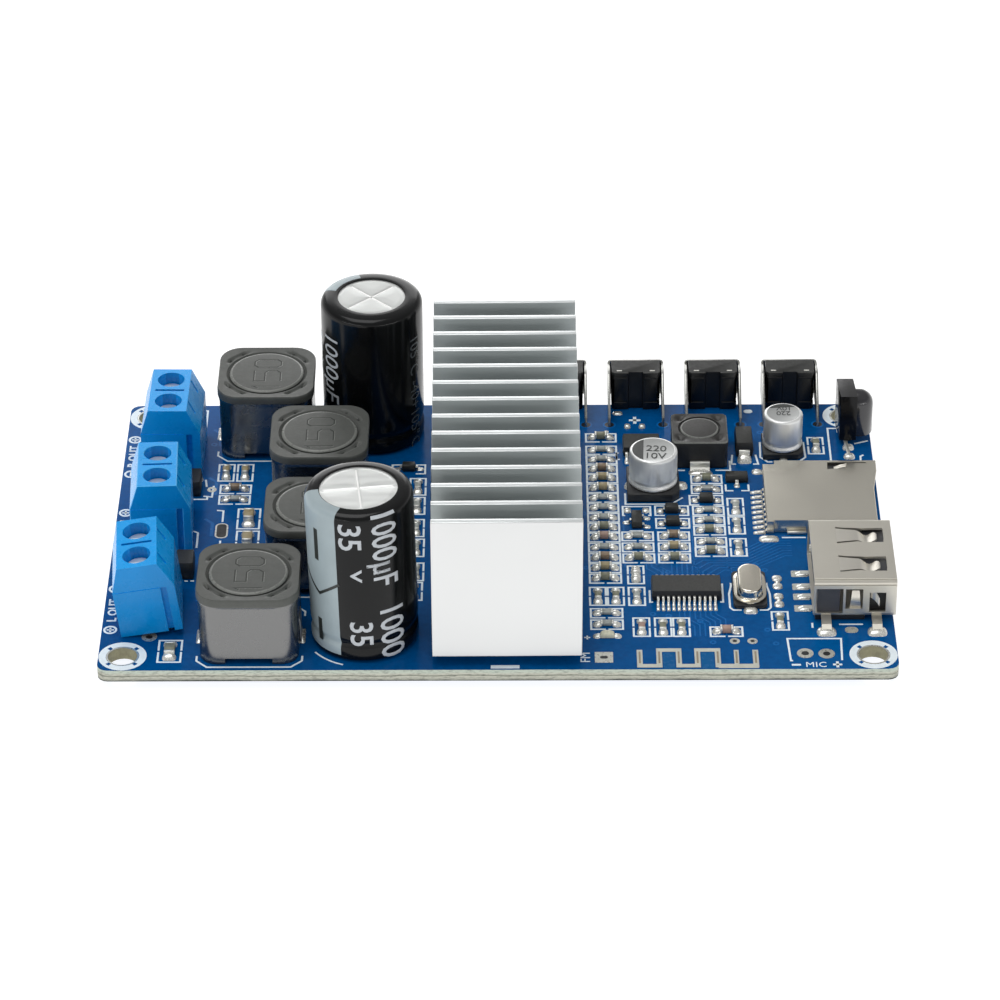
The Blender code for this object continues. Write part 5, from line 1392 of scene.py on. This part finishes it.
ob = remade("ir_receiver", [M["ir"], M["ir_dome"], M["lead"], M["ir_top"]], bevel=0.18, seg=2, smooth=45, paint=ir_paint)
for v in ob.data.vertices:
    v.co.x -= 0.07 * max(0.0, v.co.y - 15.6 * MM) if v.co.x < 46.6 * MM else 0.0
ob.data.update()
for y in (17.04, 19.19):
    blob(sold, 45.15, y, 1.5, 1.3, 0.45)
stroke(silk, [(43.0, 23.9), (42.75, 23.9), (42.75, 15.9)], SW)
stroke(silk, [(43.0, 23.9), (44.0, 23.9), (44.0, 22.9)], SW)
stroke(silk, [(46.0, 20.2), (47.8, 20.9)], SW)
stroke(silk, [(47.0, 17.5), (46.6, 17.2), (46.55, 16.0)], SW)

# ---------------------------------------------------------------- crystal
CX, CY = 30.86, -13.55
bm = bmesh.new()


def stad(w, l, z, n=14):
    return [(px, py, z) for px, py in rrect(w, l, w / 2 - 0.01, n, CX, CY)]


loft(bm, [stad(3.95, 7.2, 0.62), stad(4.0, 7.25, 0.68), stad(4.0, 7.25, 0.80), stad(3.9, 7.15, 0.87), stad(3.5, 6.75, 0.90), stad(3.2, 6.45, 0.95), stad(3.02, 6.27, 1.08), stad(2.98, 6.23, 1.3), stad(2.96, 6.21, 1.85),
          stad(2.90, 6.15, 2.02), stad(2.76, 6.01, 2.14), stad(2.5, 5.75, 2.2), stad(2.2, 5.45, 2.205)], 0)
build(bm, "crystal_can_look", [M["crystal"]], replaces=("crystal_can",), smooth=35)
remade("crystal_base", M["black"], bevel=0.06, seg=1)
for s in (-1, 1):
    blob(sold, CX, CY + s * 4.15, 1.75, 1.3, 0.4)
for sx in (-1, 1):
    stroke(silk, [(CX + sx * 2.2, CY + 1.9), (CX + sx * 2.2, CY + 1.3), (CX + sx * 2.5, CY - 0.5), (CX + sx * 2.5, CY - 3.4), (CX + sx * 2.1, CY - 3.95), (CX + sx * 1.1, CY - 3.95)], SW)
for cy in (-11.53, -15.44):
    for s in (-1, 1):
        blob(sold, 34.4, cy + s * 0.85, 1.25, 1.35, 0.22)
    blob(sold, 34.4, cy, 0.7, 1.0, 0.3)

# ---------------------------------------------------------------- antenna, microphone pads, other pads
ant = bmesh.new()
AW = 0.70
pts = [(17.05, -25.9), (17.05, -29.2), (19.4, -29.2), (19.4, -25.95), (21.75, -25.95), (21.75, -29.2), (24.0, -29.2), (24.0, -25.95), (26.45, -25.95), (26.45, -29.2), (31.0, -29.2), (31.0, -25.95)]
stroke(ant, pts, AW, 0.0, 0.06)
stroke(ant, [(28.7, -29.2), (28.7, -25.95)], AW - 0.1, 0.0, 0.055)
stroke(ant, [(26.45, -29.4), (31.3, -29.4)], 0.6, 0.0, 0.05)
core = bmesh.new()
for xx in (17.05, 19.4, 21.75, 24.0, 26.45, 28.7, 31.0):
    # each upright strip is darker and browner along its middle
    flat(core, [(xx - 0.12, -28.7), (xx + 0.12, -28.7), (xx + 0.12, -26.3), (xx - 0.12, -26.3)], 0.0, 0.075)
build(core, "antenna_core", [M["track_core"]])
build(ant, "antenna_track", [M["antenna"]], bevel=0.03, bevel_seg=1)
bare = bmesh.new()
for xa, xb in ((19.85, 21.3), (24.45, 26.0)):
    flat(bare, [(xa, -29.75), (xb, -29.75), (xb, -26.4), (xa, -26.4)], 0.0, 0.012)
build(bare, "antenna_field", [M["bare"]])
for x, y in ((28.63, -24.08), (30.77, -24.09)):
    ring(tin, x, y, 0.28, 0.62, 0, 0.04, 20)
for x, y in ((37.0, -26.69), (39.57, -26.77)):
    ring(tin, x, y, 0.45, 1.0, 0, 0.05, 28)
# painted shade: dark discs in the open holes
for x, y, r in ((37.0, -26.69, 0.47), (39.57, -26.77, 0.47), (28.63, -24.08, 0.3), (30.77, -24.09, 0.3), (-42.24, -22.89, 0.42)):
    ring(dark, x, y, 0.0, r, 0.0, 0.012, 20)
flat(dark, rrect(0.95, 0.55, 0.25, 4, 12.75, -27.42), 0.0, 0.05)
build(dark, "open_holes_painted_shade", [M["black"]])
flat(tin, rrect(2.2, 2.2, 0.1, 2, 12.75, -27.42), 0, 0.04)
ring(tin, -42.24, -22.89, 0.42, 0.95, 0, 0.04, 24)
stroke(silk, [(35.45, -28.2), (35.2, -28.2), (35.0, -23.6), (41.5, -23.6), (41.35, -28.1)], 0.24)
thick_words(silk, "MIC", 1.45, 38.2, -29.0, 0, 0, 0.03, spacing=1.05, bold=0.0)
stroke(silk, [(35.25, -29.05), (36.35, -29.05)], 0.34)
stroke(silk, [(40.2, -29.0), (41.3, -29.0)], 0.34)
stroke(silk, [(40.75, -29.6), (40.75, -28.4)], 0.34)
thick_words(silk, "FM", 1.7, 10.5, -27.4, 90, 0, 0.03, spacing=1.0, bold=0.0)
flat(silk, [(-0.85, -29.65), (2.6, -29.65), (2.6, -29.0), (-0.85, -29.0)], 0, 0.03)
flat(silk, rrect(1.15, 0.85, 0.4, 5, 32.61, 28.12), 0, 0.03)
stroke(silk, [(17.0, 26.02), (18.5, 26.02)], 0.42)
stroke(silk, [(17.75, 26.85), (17.75, 25.2)], 0.42)
for s in (-1, 1):
    blob(sold, 17.7 + s * 0.95, 24.4, 0.9, 1.0, 0.4)
blob(sold, 15.54, 27.72, 1.3, 0.9, 0.22)
for x in (5.0, 14.0, 24.5, 34.6):
    ring(tin, x, 23.2, 0.1, 0.3, 0, 0.03, 12)

# polarity marks along the left edge
for yy, sign in ((21.58, 1), (13.4, -1), (4.40, 1), (-3.6, -1), (-12.6, -1), (-21.39, 1)):
    ring(silk, -47.1, yy, 0.58, 0.86, 0, 0.03, 28)
    stroke(silk, [(-47.1, yy - 0.45), (-47.1, yy + 0.45)], 0.24)
    if sign > 0:
        stroke(silk, [(-47.55, yy), (-46.65, yy)], 0.24)
for text, yy in (("R OUT", 17.6), ("DC IN", 0.4), ("L OUT", -17.2)):
    thick_words(silk, text, 1.6, -47.1, yy, 90, 0, 0.03, spacing=1.06, bold=0.05)
# terminal and capacitor outlines
stroke(silk, [(-38.34, 28.6), (-38.07, 28.6), (-38.07, 24.0)], SW)
stroke(silk, [(-38.97, 7.48), (-37.0, 7.47), (-37.0, 8.0)], SW)
stroke(silk, [(-37.4, 12.0), (-37.2, 10.4)], SW)
stroke(silk, [(-36.3, 10.6), (-36.4, 8.0), (-37.5, 8.2)], SW)
for k in range(3):
    stroke(silk, [(-39.5 + k * 0.75, -10.9), (-39.05 + k * 0.75, -10.9)], SW)
ring(silk, -16.15, -22.05, 7.05, 7.27, 0, 0.03, 14, 0, 215, 250)
ring(silk, -16.15, 23.95, 7.05, 7.27, 0, 0.03, 14, 0, 200, 250)
ring(tin, -36.5, 9.7, 0.22, 0.6, 0, 0.05, 20)
for pts in ([(-38.3, 0.2), (-37.69, -0.2), (-37.68, -3.57)], [(-35.59, 4.92), (-34.76, 4.8), (-34.75, 2.29)], [(-34.8, -2.0), (-34.8, -2.9)]):
    stroke(silk, pts, SW)

# ---------------------------------------------------------------- tracks under the lacquer
TW = 0.17
for k in range(12):
    x = DX + (k - 5.5) * 0.6375
    y_up = -10.9 + 0.0 * k
    bend = -9.9 + (11 - k) * 0.0
    if k >= 3:
        rise = -10.2 + (k - 3) * -0.0 + (11 - k) * 0.55
        run = (11 - k) * 0.9
        xe = 34.0 - (11 - k) * 0.2
        ye = rise + 1.2
        stroke(copper, [(x, -11.4), (x, rise), (x + 1.4, rise + 1.4), (30.2 + k * 0.1, rise + 1.4), (33.6 + k * 0.2, rise + 4.6), (36.6, rise + 4.6)], TW, 0.0, 0.012)
    else:
        stroke(copper, [(x, -11.4), (x, -9.6 + k * 0.4), (x - 1.2, -8.4 + k * 0.4), (x - 1.2, -5.0)], TW, 0.0, 0.012)
for k in range(4, 12):
    x = DX + (k - 5.5) * 0.6375
    stroke(copper, [(x, -17.5), (x, -18.3 - (11 - k) * 0.25), (x + 1.1, -19.4 - (11 - k) * 0.25), (x + 1.1, -23.0)], TW, 0.0, 0.012)
for yy in (24.0, 12.5, 3.0, -6.0, -15.0):
    stroke(copper, [(-37.0, yy), (-36.0, yy - 1.0), (-36.0, yy - 4.0)], 0.4, 0, 0.012)
for x in (15.75, 19.9, 24.3, 28.4):
    stroke(copper, [(x, 3.6), (x, -8.0), (x + 0.5, -8.5), (x + 0.5, -10.2)], TW, 0, 0.012)
vias = [(19.6, -10.4), (21.0, -9.2), (31.9, -7.6), (33.0, -8.8), (24.6, -19.8), (20.8, -18.7), (18.9, -18.3), (32.7, -21.7), (33.6, -24.6), (26.0, -24.3), (10.9, -8.2), (10.8, 4.0), (19.3, 13.2), (29.0, 23.4), (33.9, 23.0), (8.8, 20.5), (-36.9, -13.0), (-12.6, 12.0), (-12.9, -11.0), (-36.8, 20.4)]
for x, y in vias:
    ring(copper, x, y, 0.18, 0.42, 0, 0.016, 14)

# ---------------------------------------------------------------- joints on the underside
under = bmesh.new()
joints = []
for x, y in ((-39.8, 15.1), (-39.7, 20.1), (-40.3, -2.1), (-40.5, 2.9), (-40.3, -20.2), (-40.6, -15.1)):
    joints.append((x, y, 1.35))
for _, x, y, _, _ in CAPS:
    joints += [(x, y - 2.5, 1.25), (x, y + 2.5, 1.25)]
for i in range(4):
    x = 7.86 + i * 10.05
    joints += [(x - 3.5, 24.95, 1.0), (x + 3.5, 24.95, 1.0)]
for x in (39.85, 46.0):
    joints += [(x, -22.3, 1.2), (x, -3.9, 1.2)]
for y in (17.0, 19.2, 21.4):
    joints.append((45.15, y, 0.8))
for x, y, r in joints:
    turned(under, [(r, -TOP + 0.001), (r * 0.97, -TOP - 0.06), (r * 0.62, -TOP - 0.32), (r * 0.42, -TOP - 0.7), (r * 0.36, -TOP - 1.0)], 20, x, y)
build(under, "underside_joints", [M["solder"]], smooth=50)

build(silk, "printing", [M["silk"]])
build(tin, "tinned_pads", [M["tin"]], smooth=40)
build(sold, "solder_joints", [M["solder"]], smooth=60)
build(copper, "tracks", [M["copper"]])

bpy.context.view_layer.update()
